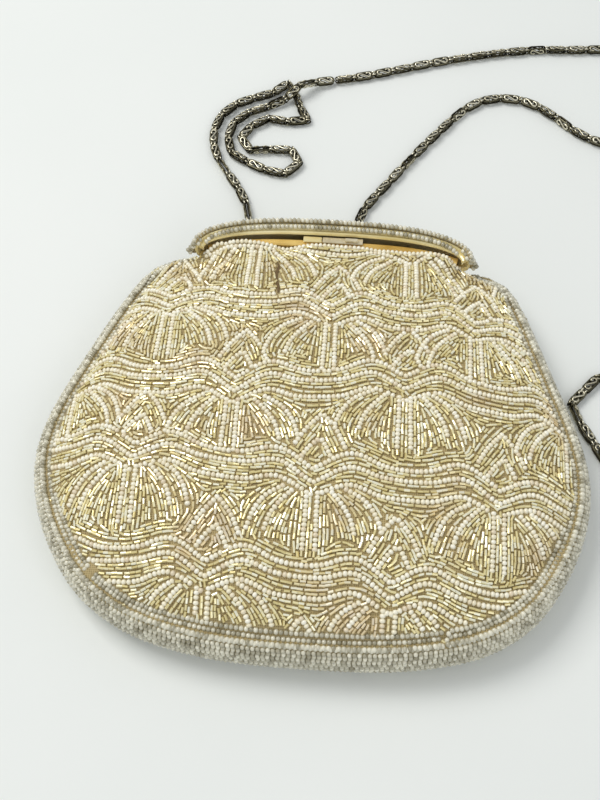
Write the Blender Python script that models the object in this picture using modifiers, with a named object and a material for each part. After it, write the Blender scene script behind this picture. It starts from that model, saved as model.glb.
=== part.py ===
"""Beaded evening clutch that lies on its back, with a hinged lid frame and a long chain.

X runs to the right, Y from the pouch's bottom to the frame, and Z up from the table.
The origin is on the table, under the middle of the pouch.
"""

import math

import bmesh
import bpy
from mathutils import Matrix, Vector

MM = 0.001
GAP = 0.3 * MM

# Pouch: the front and back panels and the band sewn between them
POUCH_HALF_WIDTH = 101.0 * MM
POUCH_LENGTH = 165.6 * MM
POUCH_BOTTOM_Y = -83.6 * MM
POUCH_SLUMP = 2.4 * MM
CLOTH_WALL = 2.0 * MM
BAND_HEIGHT = 19.0 * MM
BAND_BULGE = 8.0 * MM
BAND_END_LOW = 7.5 * MM
BAND_END_HIGH = 14.5 * MM
BAND_TAPER_START = 0.80
CROWN_HEIGHT = 34.5 * MM
MOUTH_HEIGHT = 22.0 * MM
PANEL_SINK = 0.8 * MM

# Outline from the middle of the bottom to the hinge, as shares of half width and length
OUTLINE = (
    {"across": 0.000, "along": 0.000},
    {"across": 0.220, "along": 0.003},
    {"across": 0.410, "along": 0.017},
    {"across": 0.610, "along": 0.052},
    {"across": 0.780, "along": 0.122},
    {"across": 0.905, "along": 0.230},
    {"across": 0.978, "along": 0.340},
    {"across": 1.000, "along": 0.440},
    {"across": 0.972, "along": 0.548},
    {"across": 0.890, "along": 0.695},
    {"across": 0.805, "along": 0.835},
    {"across": 0.730, "along": 0.940},
    {"across": 0.655, "along": 0.983},
    {"across": 0.555, "along": 1.000},
)

# Section of the band from the table to the front panel: how far in, as a share of
# the bulge, and how high, as a share of the band's height
BAND_SECTION = (
    {"inward": 1.000, "height": 0.000},
    {"inward": 0.640, "height": 0.000},
    {"inward": 0.280, "height": 0.150},
    {"inward": 0.060, "height": 0.360},
    {"inward": 0.000, "height": 0.530},
    {"inward": 0.070, "height": 0.740},
    {"inward": 0.230, "height": 0.900},
    {"inward": 0.450, "height": 1.000},
)

# Dents and tucks of the front panel: place and length as shares of the half width,
# width and depth as shares of the crown height, turn in degrees from the X axis
DENTS = (
    {"across": -0.185, "along": 0.68, "length": 0.10, "width": 0.09, "depth": 0.085, "turn": 80},
    {"across": 0.245, "along": 0.66, "length": 0.12, "width": 0.12, "depth": 0.060, "turn": 100},
    {"across": -0.420, "along": 0.62, "length": 0.16, "width": 0.16, "depth": 0.050, "turn": 62},
    {"across": 0.620, "along": 0.50, "length": 0.20, "width": 0.20, "depth": 0.050, "turn": 125},
    {"across": -0.790, "along": -0.50, "length": 0.16, "width": 0.12, "depth": 0.080, "turn": 150},
    {"across": -0.560, "along": -0.64, "length": 0.14, "width": 0.12, "depth": 0.060, "turn": 140},
    {"across": 0.800, "along": -0.44, "length": 0.18, "width": 0.14, "depth": 0.080, "turn": 35},
    {"across": 0.560, "along": -0.62, "length": 0.14, "width": 0.14, "depth": 0.050, "turn": 20},
)

# Mouth and frame: flat arches from hinge to hinge
ARCH_POWER = 2.4
RIM_INSIDE_CORNER = 3.49 * MM
RIM_PAST_CORNER = 0.64 * MM
RIM_RISE = 9.4 * MM
RIM_TO_MOUTH = 4.9 * MM
STRIP_WIDTH = 2.8 * MM
STRIP_DEPTH = 3.6 * MM
STRIP_END_DROP = 3.2 * MM
STRIP_SHORT = 6.06 * MM
MOUTH_POWER = 3.5

# Lid: a gold channel, seen from its end as a C that opens towards the pouch
METAL = 1.0 * MM
RIM_RADIUS = 0.85 * MM
RIM_HEIGHT = 25.0 * MM
RIM_END_DROP = 1.6 * MM
LIP_WIDTH = 2.8 * MM
LIP_END_WIDTH = 1.4 * MM
LIP_RISE = 1.9 * MM
LID_BULGE = 0.6 * MM
LID_FOOT = 1.2 * MM
LID_END_LIFT = 16.4 * MM
LID_REACH = 0.985
BACK_LIP = 5.0 * MM
BACK_LIP_END = 1.6 * MM
COVER_FOOT_SHARE = 0.21

# Latch on the middle of the front strip
LATCH_WIDTH = 23.6 * MM
LATCH_TAB_SHARE = 0.31
LATCH_DEPTH = 2.6 * MM
LATCH_METAL = 0.8 * MM
HOOK_WIDTH = 5.0 * MM
HOOK_HEIGHT = 1.2 * MM

# Hinge pins, chain lugs and rings
PIN_RADIUS = 0.9 * MM
LUG_X = 22.0 * MM
LUG_RADIUS = 1.9 * MM
LUG_WIRE = 0.6 * MM
LUG_HEIGHT = 3.6 * MM
RING_RADIUS = 2.7 * MM
RING_WIRE = 0.55 * MM
RING_TILT = math.radians(20)

# Chain: a tube of the links' outer size, along a route chosen by hand in millimetres
CHAIN_RADIUS = 1.9 * MM
CHAIN_LIFT = 0.05 * MM
CHAIN_HUMP = 4.3 * MM
CHAIN_STEP = 16.0 * MM
CHAIN_TURN = math.radians(24)
CHAIN_SPLIT = 57
HUMP_POINTS = {52: 0.25, 53: 0.85, 54: 1.0, 55: 0.7, 56: 0.15}
CHAIN_ROUTE = (
    (-23.7, 99.0), (-28.6, 102.4), (-33.6, 106.6), (-37.0, 112.0), (-39.4, 122.0),
    (-45.0, 132.0), (-51.0, 140.5), (-55.5, 149.5), (-57.0, 158.0), (-56.2, 166.5),
    (-53.0, 173.5), (-48.0, 178.5), (-41.5, 182.0), (-35.0, 184.4), (-31.0, 187.6),
    (-28.6, 191.2), (-25.0, 192.8), (-22.0, 190.4), (-22.2, 186.0), (-21.6, 181.0),
    (-18.8, 177.0), (-15.6, 173.6), (-16.0, 170.0), (-20.5, 168.6), (-26.5, 169.2),
    (-31.5, 170.8), (-35.6, 169.0), (-38.2, 165.8), (-42.0, 164.4), (-44.4, 161.0),
    (-44.6, 156.6), (-42.6, 152.4), (-38.0, 150.4), (-31.5, 151.6), (-24.5, 152.6),
    (-19.4, 151.0), (-17.6, 146.2), (-18.8, 141.4), (-22.6, 138.4), (-27.0, 137.6),
    (-32.0, 139.6), (-38.0, 142.6), (-44.2, 145.6), (-48.6, 149.6), (-50.2, 155.0),
    (-50.2, 161.0), (-48.6, 166.6), (-45.2, 171.0), (-40.4, 174.6), (-35.0, 177.0),
    (-30.4, 179.2), (-28.0, 180.8), (-26.0, 182.4), (-22.4, 185.4), (-20.0, 187.8),
    (-16.4, 191.0), (-12.0, 193.6),
    (-5.0, 196.0), (9.0, 199.6), (24.0, 204.8), (40.0, 210.4), (56.0, 215.2),
    (72.0, 219.4), (90.0, 222.6), (106.0, 223.6), (121.0, 225.0), (135.0, 224.0),
    (148.0, 218.6), (158.5, 208.0), (165.5, 193.0), (168.6, 174.0), (169.0, 152.0),
    (167.4, 130.0), (164.6, 108.0), (161.0, 86.0), (156.0, 64.0), (149.6, 42.0),
    (141.6, 21.0), (132.0, 4.0), (121.6, -4.6), (113.0, -3.0), (107.6, 4.6),
    (103.8, 11.6), (100.2, 18.0), (97.0, 24.6), (95.4, 30.4), (96.6, 35.0),
    (100.6, 35.8), (104.2, 37.4), (105.6, 41.6), (108.6, 44.2), (113.0, 43.4),
    (118.6, 43.8), (126.0, 49.6), (133.6, 60.0), (139.6, 74.0), (143.0, 92.0),
    (143.0, 110.0), (139.6, 128.0), (133.6, 144.0), (126.0, 157.0), (118.6, 164.6),
    (110.0, 168.0), (102.0, 173.6), (95.0, 180.6), (88.0, 186.0), (79.6, 189.6),
    (70.0, 190.0), (61.0, 187.0), (53.0, 180.0), (46.0, 171.0), (40.0, 163.0),
    (34.4, 155.0), (28.8, 147.0), (23.0, 138.0), (17.0, 129.0), (12.6, 122.0),
    (9.8, 116.4), (9.6, 110.6), (12.0, 105.2), (16.2, 101.4), (20.3, 99.0),
)

# Faces of the panels, the band, the frame and the rings
FRONT_CELLS = 26
BACK_CELLS = 18
BAND_CELLS = 64
LID_STATIONS = 33
STRIP_STATIONS = 29
LUG_SIDES = 14
RING_SIDES = 20
WIRE_SIDES = 8
CURVE_STEPS = 12

# Colours: red, green, blue, roughness, metallic
PEARL_CLOTH = (0.80, 0.74, 0.62, 0.45, 0.0)
GOLD_METAL = (0.75, 0.55, 0.24, 0.30, 1.0)
PALE_STEEL = (0.70, 0.62, 0.56, 0.30, 1.0)
DARK_BRASS = (0.26, 0.24, 0.18, 0.38, 1.0)


def new_collection(name):
    collection = bpy.data.collections.new(name)
    bpy.context.scene.collection.children.link(collection)
    return collection


def new_material(name, finish):
    red, green, blue, roughness, metallic = finish
    material = bpy.data.materials.new(name)
    material.use_nodes = True
    shader = material.node_tree.nodes["Principled BSDF"]
    shader.inputs["Base Color"].default_value = (red, green, blue, 1.0)
    shader.inputs["Roughness"].default_value = roughness
    shader.inputs["Metallic"].default_value = metallic
    material.diffuse_color = (red, green, blue, 1.0)
    return material


def add_mesh(bm, name, finish, collection):
    """Turns a bmesh into an object of the collection."""
    mesh = bpy.data.meshes.new(name)
    bm.to_mesh(mesh)
    bm.free()
    mesh.materials.append(new_material(name, finish))
    mesh.shade_smooth()
    mesh.set_sharp_from_angle(angle=math.radians(35))
    item = bpy.data.objects.new(name, mesh)
    collection.objects.link(item)
    return item


def sheet(name, columns, rows, place, finish, collection, thickness=CLOTH_WALL):
    """A grid laid over a surface, with its wall on the inner side."""
    bm = bmesh.new()
    bmesh.ops.create_grid(bm, x_segments=columns, y_segments=rows, size=1.0)
    for vert in bm.verts:
        vert.co = place(vert.co.x, vert.co.y)
    item = add_mesh(bm, name, finish, collection)
    wall = item.modifiers.new("wall", "SOLIDIFY")
    wall.thickness = thickness
    wall.offset = -1.0
    wall.use_even_offset = True
    return item


def loft(name, sections, finish, collection):
    """A closed solid through a row of closed sections of equal count."""
    bm = bmesh.new()
    rings = [[bm.verts.new(point) for point in section] for section in sections]
    count = len(rings[0])
    for ring, following in zip(rings, rings[1:]):
        for i in range(count):
            j = (i + 1) % count
            bm.faces.new((ring[i], ring[j], following[j], following[i]))
    bm.faces.new(rings[0])
    bm.faces.new(rings[-1])
    bmesh.ops.recalc_face_normals(bm, faces=bm.faces)
    return add_mesh(bm, name, finish, collection)


def torus(radius, wire, place, around, along):
    """A ring of round wire as a bmesh, a small circle spun about the Z axis."""
    bm = bmesh.new()
    circle = bmesh.ops.create_circle(bm, segments=along, radius=wire)
    turn = Matrix.Translation((radius, 0, 0)) @ Matrix.Rotation(math.pi / 2, 4, "X")
    bmesh.ops.transform(bm, matrix=turn, verts=circle["verts"])
    bmesh.ops.spin(bm, geom=bm.edges[:], cent=(0, 0, 0), axis=(0, 0, 1),
                   angle=2 * math.pi, steps=around, use_merge=True)
    bmesh.ops.remove_doubles(bm, verts=bm.verts, dist=0.001 * MM)
    bmesh.ops.recalc_face_normals(bm, faces=bm.faces)
    bmesh.ops.transform(bm, matrix=place, verts=bm.verts)
    return bm


def smooth(share):
    share = min(max(share, 0.0), 1.0)
    return share * share * (3 - 2 * share)


def catmull(points, steps):
    """Points of a smooth curve through the given ones, steps of them for each span."""
    ends = [2 * points[0] - points[1], *points, 2 * points[-1] - points[-2]]
    curve = []
    for a, b, c, d in zip(ends, ends[1:], ends[2:], ends[3:]):
        for step in range(steps):
            t = step / steps
            curve.append(0.5 * (2 * b + (c - a) * t + (2 * a - 5 * b + 4 * c - d) * t * t
                                + (3 * b - a - 3 * c + d) * t ** 3))
    return [*curve, points[-1]]


def outline_half():
    """The pouch's right edge from the middle of the bottom to the hinge."""
    points = [Vector((row["across"] * POUCH_HALF_WIDTH,
                      POUCH_BOTTOM_Y + row["along"] * POUCH_LENGTH)) for row in OUTLINE]
    mirrored = Vector((-points[1].x, points[1].y))
    return catmull([mirrored, *points], CURVE_STEPS)[CURVE_STEPS:]


def slumped(point):
    """Moves the belly a little to the left of the frame, as the full pouch lies."""
    along = (point.y - POUCH_BOTTOM_Y) / POUCH_LENGTH
    return Vector((point.x - POUCH_SLUMP * 4 * along * (1 - along), point.y))


EDGE = outline_half()
EDGE = [slumped(p) for p in [Vector((-p.x, p.y)) for p in reversed(EDGE[1:])] + EDGE]
EDGE_LENGTHS = [0.0]
for first, second in zip(EDGE, EDGE[1:]):
    EDGE_LENGTHS.append(EDGE_LENGTHS[-1] + (second - first).length)


def edge_point(share, inset):
    """A point of the pouch's edge, share -1 at the left hinge and 1 at the right."""
    wanted = (share + 1) / 2 * EDGE_LENGTHS[-1]
    index = 1
    while index < len(EDGE) - 1 and EDGE_LENGTHS[index] < wanted:
        index += 1
    start, end = EDGE[index - 1], EDGE[index]
    span = EDGE_LENGTHS[index] - EDGE_LENGTHS[index - 1]
    point = start.lerp(end, (wanted - EDGE_LENGTHS[index - 1]) / span)
    before = EDGE[max(index - 4, 0)]
    after = EDGE[min(index + 3, len(EDGE) - 1)]
    along = (after - before).normalized()
    outward = Vector((along.y, -along.x))
    return point - outward * inset


def band_taper(y):
    """0 along most of the band and 1 at the hinges, where it narrows."""
    start = POUCH_BOTTOM_Y + BAND_TAPER_START * POUCH_LENGTH
    return smooth((y - start) / (POUCH_BOTTOM_Y + POUCH_LENGTH - start))


def band_low(y):
    return BAND_END_LOW * band_taper(y)


def band_high(y):
    return BAND_HEIGHT - (BAND_HEIGHT - BAND_END_HIGH) * band_taper(y)


def band_inset(share, part):
    """How far inside the edge a part of the band's bulge is, less at the hinges."""
    y = edge_point(share, 0.0).y
    height = band_high(y) - band_low(y)
    return part * BAND_BULGE * (0.45 + 0.55 * height / BAND_HEIGHT)


def rim_arch(share):
    """A point of the lid's rim, a flat-topped arch: share -1 is at the left, 1 at the right."""
    angle = math.pi / 2 * (1 - share)
    power = 2 / ARCH_POWER
    across = math.copysign(abs(math.cos(angle)) ** power, math.cos(angle))
    return Vector((RIM_HALF_SPAN * across, RIM_BASE_Y + RIM_RISE * abs(math.sin(angle)) ** power))


def mouth_arch(share, corner, rise):
    """A point of a cloth mouth, which rises from corner to corner."""
    return Vector((corner.x * share, corner.y + rise * (1 - abs(share) ** MOUTH_POWER)))


def outward_of(curve, share):
    """The direction away from the pouch at a share of an arch."""
    step = 0.004
    along = (curve(min(share + step, 1.0)) - curve(max(share - step, -1.0))).normalized()
    return Vector((-along.y, along.x))


def closed_outline(inset, mouth_rise, count=160):
    """Edge points inset from the pouch's edge, closed by an arch across the mouth."""
    lower = [edge_point(-1 + 2 * i / count, inset(-1 + 2 * i / count)) for i in range(count + 1)]
    corner = lower[-1]
    upper = [mouth_arch(1 - 2 * i / count, corner, mouth_rise) for i in range(1, count)]
    return lower + upper


def reach(outline, centre, direction):
    """How far the outline is from the centre in a direction."""
    best = 0.0
    for a, b in zip(outline, outline[1:] + outline[:1]):
        side = b - a
        offset = a - centre
        cross = direction.x * side.y - direction.y * side.x
        if abs(cross) < 1e-12:
            continue
        far = (offset.x * side.y - offset.y * side.x) / cross
        along = (offset.x * direction.y - offset.y * direction.x) / cross
        if far > 0 and -1e-6 <= along <= 1 + 1e-6:
            best = max(best, far)
    return best


def disc_share(u, v):
    """Turns a place on a square into a direction and a share of the way to the edge."""
    x = u * math.sqrt(1 - v * v / 2)
    y = v * math.sqrt(1 - u * u / 2)
    length = math.hypot(x, y)
    if length < 1e-9:
        return Vector((1, 0)), 0.0
    return Vector((x / length, y / length)), length


PANEL_CENTRE = Vector((0, POUCH_BOTTOM_Y + 0.50 * POUCH_LENGTH))


def front_inset(share):
    return band_inset(share, BAND_SECTION[-1]["inward"]) + CLOTH_WALL


def back_inset(share):
    room = GAP * (1 + 1.8 * band_taper(edge_point(share, 0.0).y))
    return band_inset(share, BAND_SECTION[0]["inward"]) + room


FRONT_CORNER = edge_point(1, front_inset(1))
BACK_CORNER = edge_point(1, back_inset(1))
RIM_HALF_SPAN = FRONT_CORNER.x - RIM_INSIDE_CORNER
RIM_BASE_Y = FRONT_CORNER.y + RIM_PAST_CORNER
STRIP_REACH = 1 - STRIP_SHORT / FRONT_CORNER.x
MOUTH_RISE = RIM_BASE_Y + RIM_RISE - RIM_TO_MOUTH - FRONT_CORNER.y
BACK_MOUTH_RISE = RIM_BASE_Y + RIM_RISE + LIP_WIDTH - BACK_LIP - GAP - BACK_CORNER.y
FRONT_OUTLINE = closed_outline(front_inset, MOUTH_RISE)
BACK_OUTLINE = closed_outline(back_inset, BACK_MOUTH_RISE)


def front_edge_height(point):
    """Height of the front panel's outer face where it ends."""
    band = band_high(point.y) - PANEL_SINK
    if point.y <= FRONT_CORNER.y:
        return band
    near = abs(point.x) / FRONT_CORNER.x
    mouth = MOUTH_HEIGHT - STRIP_END_DROP * near ** 4
    return mouth + (band - mouth) * smooth((near - 0.86) / 0.12)


def back_edge_height(point):
    """Height of the back panel's outer face where it ends."""
    band = band_low(point.y)
    if point.y <= BACK_CORNER.y:
        return band
    near = abs(point.x) / BACK_CORNER.x
    return min(LID_END_LIFT * near ** 4, BAND_END_LOW)


def dent_depth(point):
    depth = 0.0
    for row in DENTS:
        turn = math.radians(row["turn"])
        x = point.x - row["across"] * POUCH_HALF_WIDTH
        y = point.y - row["along"] * POUCH_HALF_WIDTH
        along = (x * math.cos(turn) + y * math.sin(turn)) / (row["length"] * POUCH_HALF_WIDTH)
        across = (y * math.cos(turn) - x * math.sin(turn)) / (row["width"] * CROWN_HEIGHT)
        depth += row["depth"] * CROWN_HEIGHT * math.exp(-along * along - across * across)
    return depth


def front_surface(u, v):
    """The outer face of the front panel, a crowned pillow that falls to its edges."""
    direction, share = disc_share(u, v)
    ray = direction * reach(FRONT_OUTLINE, PANEL_CENTRE, direction)
    edge = front_edge_height(PANEL_CENTRE + ray)
    point = PANEL_CENTRE + ray * share
    crown = (1 - share ** 3) ** 0.8
    height = edge + (CROWN_HEIGHT - edge) * crown - dent_depth(point) * min(1, 6 * crown)
    return Vector((point.x, point.y, height))


def back_surface(u, v):
    """The outer face of the back panel, flat on the table and raised at the hinges."""
    direction, share = disc_share(-u, v)
    ray = direction * reach(BACK_OUTLINE, PANEL_CENTRE, direction)
    point = PANEL_CENTRE + ray * share
    lift = back_edge_height(PANEL_CENTRE + ray) * smooth((share - 0.6) / 0.4)
    return Vector((point.x, point.y, lift))


def band_surface(u, v):
    """The outer face of the band, along the pouch's edge and up its section."""
    last = len(BAND_SECTION) - 1
    place = (v + 1) / 2 * last
    index = min(int(place), last - 1)
    row, following = BAND_SECTION[index], BAND_SECTION[index + 1]
    blend = place - index
    inward = row["inward"] + (following["inward"] - row["inward"]) * blend
    height = row["height"] + (following["height"] - row["height"]) * blend
    point = edge_point(u, band_inset(u, inward))
    low = band_low(point.y)
    return Vector((point.x, point.y, low + height * (band_high(point.y) - low)))


def rim_frame(share):
    """A place on the lid's rim: its point, its outward direction and how near the hinge."""
    point = rim_arch(share)
    return point, outward_of(rim_arch, share), abs(point.x) / RIM_HALF_SPAN


def lid_sizes(near):
    """Lip width, rim height, lip height, foot height and back lip at a share of the span."""
    lip = LIP_WIDTH - (LIP_WIDTH - LIP_END_WIDTH) * near ** 4
    rim = RIM_HEIGHT - RIM_END_DROP * near ** 4
    foot = LID_FOOT + LID_END_LIFT * near ** 4
    back = BACK_LIP - (BACK_LIP - BACK_LIP_END) * near ** 3
    return lip, rim, rim + LIP_RISE, foot, back


def place_section(share, section):
    point, outward, _ = rim_frame(share)
    return [Vector((point.x + outward.x * out, point.y + outward.y * out, height))
            for out, height in section]


def lid_section(share):
    """The lid's metal: rolled rim, sloping lip, outer plate and back lip."""
    lip, rim, top, foot, back = lid_sizes(rim_frame(share)[2])
    middle = (top + foot) / 2
    wire = RIM_RADIUS
    section = [
        (-wire, rim), (-0.65 * wire, rim + 0.8 * wire), (0.1 * wire, rim + 1.1 * wire),
        (0.9 * wire, rim + 0.85 * wire),
        (lip, top), (lip + 0.9 * METAL, top - 0.9 * METAL),
        (lip + 0.9 * METAL + LID_BULGE, middle),
        (lip + 0.9 * METAL, foot + 0.9 * METAL), (lip, foot),
        (lip - back, foot), (lip - back, foot + METAL), (lip - 0.2 * METAL, foot + 1.1 * METAL),
        (lip + LID_BULGE - 0.1 * METAL, middle), (lip - 0.2 * METAL, top - 1.2 * METAL),
        (0.85 * wire, rim - 0.5 * wire), (0.1 * wire, rim - wire), (-0.7 * wire, rim - 0.7 * wire),
    ]
    return place_section(share, section)


def cover_section(share):
    """The beaded cloth over the lid's outer plate."""
    lip, _, top, foot, _ = lid_sizes(rim_frame(share)[2])
    middle = (top + foot) / 2
    low = foot + COVER_FOOT_SHARE * (top - foot)
    inner = METAL + GAP
    section = [
        (lip + 0.1 * METAL, top + GAP),
        (lip + inner, top - 0.8 * METAL),
        (lip + inner + LID_BULGE, middle),
        (lip + inner + 0.2 * LID_BULGE, low),
        (lip + inner + 0.2 * LID_BULGE + CLOTH_WALL, low),
        (lip + inner + LID_BULGE + CLOTH_WALL, middle),
        (lip + inner + 0.85 * CLOTH_WALL, top - 0.1 * METAL),
        (lip + 0.6 * METAL, top + 0.8 * CLOTH_WALL + GAP),
    ]
    return place_section(share, section)


def strip_place(share):
    """A place on the middle of the front strip, with its outward direction and top."""
    def mouth(place):
        return mouth_arch(place, FRONT_CORNER, MOUTH_RISE)

    outward = outward_of(mouth, share)
    middle = mouth(share) + outward * (GAP + STRIP_WIDTH / 2)
    return middle, outward, MOUTH_HEIGHT + METAL - STRIP_END_DROP * abs(share) ** 4


def strip_section(share):
    """The front strip: a folded channel that grips the front panel's mouth."""
    point, outward, top = strip_place(share)
    half = STRIP_WIDTH / 2
    round_off = 0.35 * half
    section = [
        (-half, top - STRIP_DEPTH), (-half, top - round_off), (-half + round_off, top),
        (half - round_off, top), (half, top - round_off), (half, top - STRIP_DEPTH),
    ]
    return [Vector((point.x + outward.x * out, point.y + outward.y * out, height))
            for out, height in section]


def shares(count, limit=1.0):
    """Evenly spaced places along an arch, from one end to the other."""
    return [limit * (2 * i / (count - 1) - 1) for i in range(count)]


def box(name, low, high, edge, finish, collection):
    """A box with rounded edges between two corners."""
    bm = bmesh.new()
    bmesh.ops.create_cube(bm, size=1.0)
    size = Vector(high) - Vector(low)
    bmesh.ops.scale(bm, vec=size, verts=bm.verts)
    bmesh.ops.translate(bm, vec=(Vector(low) + Vector(high)) / 2, verts=bm.verts)
    bmesh.ops.bevel(bm, geom=bm.edges[:], offset=edge, segments=1, profile=0.5,
                    affect="EDGES", material=-1)
    return add_mesh(bm, name, finish, collection)


def join_by_boolean(item, cutter, name):
    union = item.modifiers.new(name, "BOOLEAN")
    union.operation = "UNION"
    union.solver = "EXACT"
    union.object = cutter


def build_pouch(collection):
    sheet("front_panel", FRONT_CELLS, FRONT_CELLS, front_surface, PEARL_CLOTH, collection)
    sheet("back_panel", BACK_CELLS, BACK_CELLS, back_surface, PEARL_CLOTH, collection)
    sheet("side_band", BAND_CELLS, len(BAND_SECTION) - 1, band_surface, PEARL_CLOTH, collection)


def lug_centre(side):
    """The middle of a chain lug, on the foot of the lid's plate."""
    best = min(shares(201), key=lambda s: abs(rim_frame(s)[0].x - side * LUG_X))
    point, _, near = rim_frame(best)
    lip = lid_sizes(near)[0]
    return Vector((side * LUG_X, point.y + lip + METAL + 0.75 * LUG_RADIUS, LUG_HEIGHT))


def build_frame(collection, cutters):
    lid_places = shares(LID_STATIONS, LID_REACH)
    lid = loft("lid", [lid_section(s) for s in lid_places], GOLD_METAL, collection)
    for side, name in ((-1, "left_lug_guide"), (1, "right_lug_guide")):
        place = Matrix.Translation(lug_centre(side)) @ Matrix.Rotation(math.pi / 2, 4, "Y")
        ring = torus(LUG_RADIUS, LUG_WIRE, place, LUG_SIDES, WIRE_SIDES)
        guide = add_mesh(ring, name, GOLD_METAL, cutters)
        guide.hide_render = True
        guide.display_type = "WIRE"
        join_by_boolean(lid, guide, name)
    loft("lid_cover", [cover_section(s) for s in lid_places], PEARL_CLOTH, collection)
    strip_places = shares(STRIP_STATIONS, STRIP_REACH)
    loft("front_strip", [strip_section(s) for s in strip_places], GOLD_METAL, collection)


def build_latch(collection):
    point, _, top = strip_place(0)
    low_y = point.y - 0.15 * LATCH_DEPTH
    high_y = low_y + LATCH_DEPTH
    left = -LATCH_WIDTH / 2
    tab_end = left + LATCH_TAB_SHARE * LATCH_WIDTH
    low, high = top + GAP, top + GAP + LATCH_METAL
    edge = 0.2 * LATCH_METAL
    box("latch_tab", (left, low_y, low), (tab_end, high_y, high), edge, GOLD_METAL, collection)
    box("latch_bar", (tab_end + GAP, low_y, low), (-left, high_y, high), edge, PALE_STEEL, collection)
    hook_x = tab_end + 0.72 * (-left - tab_end)
    box("latch_hook", (hook_x - HOOK_WIDTH / 2, low_y + edge, high + GAP),
        (hook_x + HOOK_WIDTH / 2, low_y + 0.6 * LATCH_DEPTH, high + GAP + HOOK_HEIGHT),
        edge, PALE_STEEL, collection)


def build_hinges(collection):
    """A plain pin at each end, between the strip's end and the lid's plate."""
    for side, name in ((-1, "left_hinge_pin"), (1, "right_hinge_pin")):
        point = strip_place(STRIP_REACH * side)[0]
        rim_point, _, near = rim_frame(LID_REACH * side)
        lip, _, _, foot, _ = lid_sizes(near)
        start = abs(point.x) + STRIP_WIDTH / 2 + GAP
        end = abs(rim_point.x) + lip - METAL - GAP
        bm = bmesh.new()
        bmesh.ops.create_cone(bm, cap_ends=True, segments=2 * WIRE_SIDES, radius1=PIN_RADIUS,
                              radius2=PIN_RADIUS, depth=end - start)
        height = foot + 1.1 * METAL + GAP + PIN_RADIUS
        middle = Vector((side * (start + end) / 2, point.y, height))
        place = Matrix.Translation(middle) @ Matrix.Rotation(math.pi / 2, 4, "Y")
        bmesh.ops.transform(bm, matrix=place, verts=bm.verts)
        add_mesh(bm, name, GOLD_METAL, collection)


def ring_centre(side):
    """The middle of a jump ring that hangs in its lug and dips towards the table."""
    lug = lug_centre(side)
    seat = LUG_RADIUS - LUG_WIRE - RING_WIRE - 0.15 * MM
    near = Vector((lug.x, lug.y, lug.z - seat))
    return near + Vector((0, math.cos(RING_TILT), -math.sin(RING_TILT))) * RING_RADIUS


def build_rings(collection):
    for side, name in ((-1, "left_jump_ring"), (1, "right_jump_ring")):
        place = Matrix.Translation(ring_centre(side)) @ Matrix.Rotation(-RING_TILT, 4, "X")
        ring = torus(RING_RADIUS, RING_WIRE, place, RING_SIDES, WIRE_SIDES)
        add_mesh(ring, name, DARK_BRASS, collection)


def chain_curve():
    """The chain's middle line: the route as a smooth curve, with one long low hump."""
    floor = CHAIN_RADIUS + CHAIN_LIFT
    route = [Vector((x * MM, y * MM, floor + HUMP_POINTS.get(i, 0.0) * CHAIN_HUMP))
             for i, (x, y) in enumerate(CHAIN_ROUTE)]
    return catmull(route, CURVE_STEPS)


def thinned(curve):
    """Fewer points: one after each long step or turn of the curve."""
    kept = [curve[0]]
    heading = (curve[1] - curve[0]).normalized()
    for point, following in zip(curve[1:], curve[2:]):
        direction = (following - point).normalized()
        far = (point - kept[-1]).length
        if far > CHAIN_STEP or (heading.angle(direction) > CHAIN_TURN and far > CHAIN_RADIUS):
            kept.append(point)
            heading = direction
    if (curve[-1] - kept[-1]).length < CHAIN_RADIUS:
        kept.pop()
    return [*kept, curve[-1]]


def tube(name, points, radius, finish, collection):
    curve = bpy.data.curves.new(name, "CURVE")
    curve.dimensions = "3D"
    curve.bevel_depth = radius
    curve.bevel_resolution = 2
    curve.use_fill_caps = True
    spline = curve.splines.new("POLY")
    spline.points.add(len(points) - 1)
    for slot, point in zip(spline.points, points):
        slot.co = (*point, 1.0)
    curve.materials.append(new_material(name, finish))
    item = bpy.data.objects.new(name, curve)
    collection.objects.link(item)


def build_chain(collection):
    """Two stretches of chain that meet beyond the fold."""
    curve = chain_curve()
    split = CHAIN_SPLIT * CURVE_STEPS
    first, second = curve[:split + 1], curve[split:]
    along = (second[1] - second[0]).normalized()
    first[-1] = first[-1] - along * GAP / 2
    second[0] = second[0] + along * GAP / 2
    tube("chain_near", thinned(first), CHAIN_RADIUS, DARK_BRASS, collection)
    tube("chain_far", thinned(second), CHAIN_RADIUS, DARK_BRASS, collection)


def main():
    for item in list(bpy.data.objects):
        bpy.data.objects.remove(item, do_unlink=True)
    parts = new_collection("beaded_clutch")
    cutters = new_collection("cutters")
    build_pouch(parts)
    build_frame(parts, cutters)
    build_latch(parts)
    build_hinges(parts)
    build_rings(parts)
    build_chain(parts)


main()
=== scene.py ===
# %% [markdown]
# Beaded clutch. The bag lies on its back with its chain laid out beside it.
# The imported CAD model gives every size; this lesson dresses it with cloth, seed beads,
# polished metal and scroll links, one finish at a time.

# %% Load the frame
import math
import random
from itertools import accumulate

import bmesh
import bpy
import numpy as np
from mathutils import Matrix, Vector
from mathutils.bvhtree import BVHTree


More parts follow.
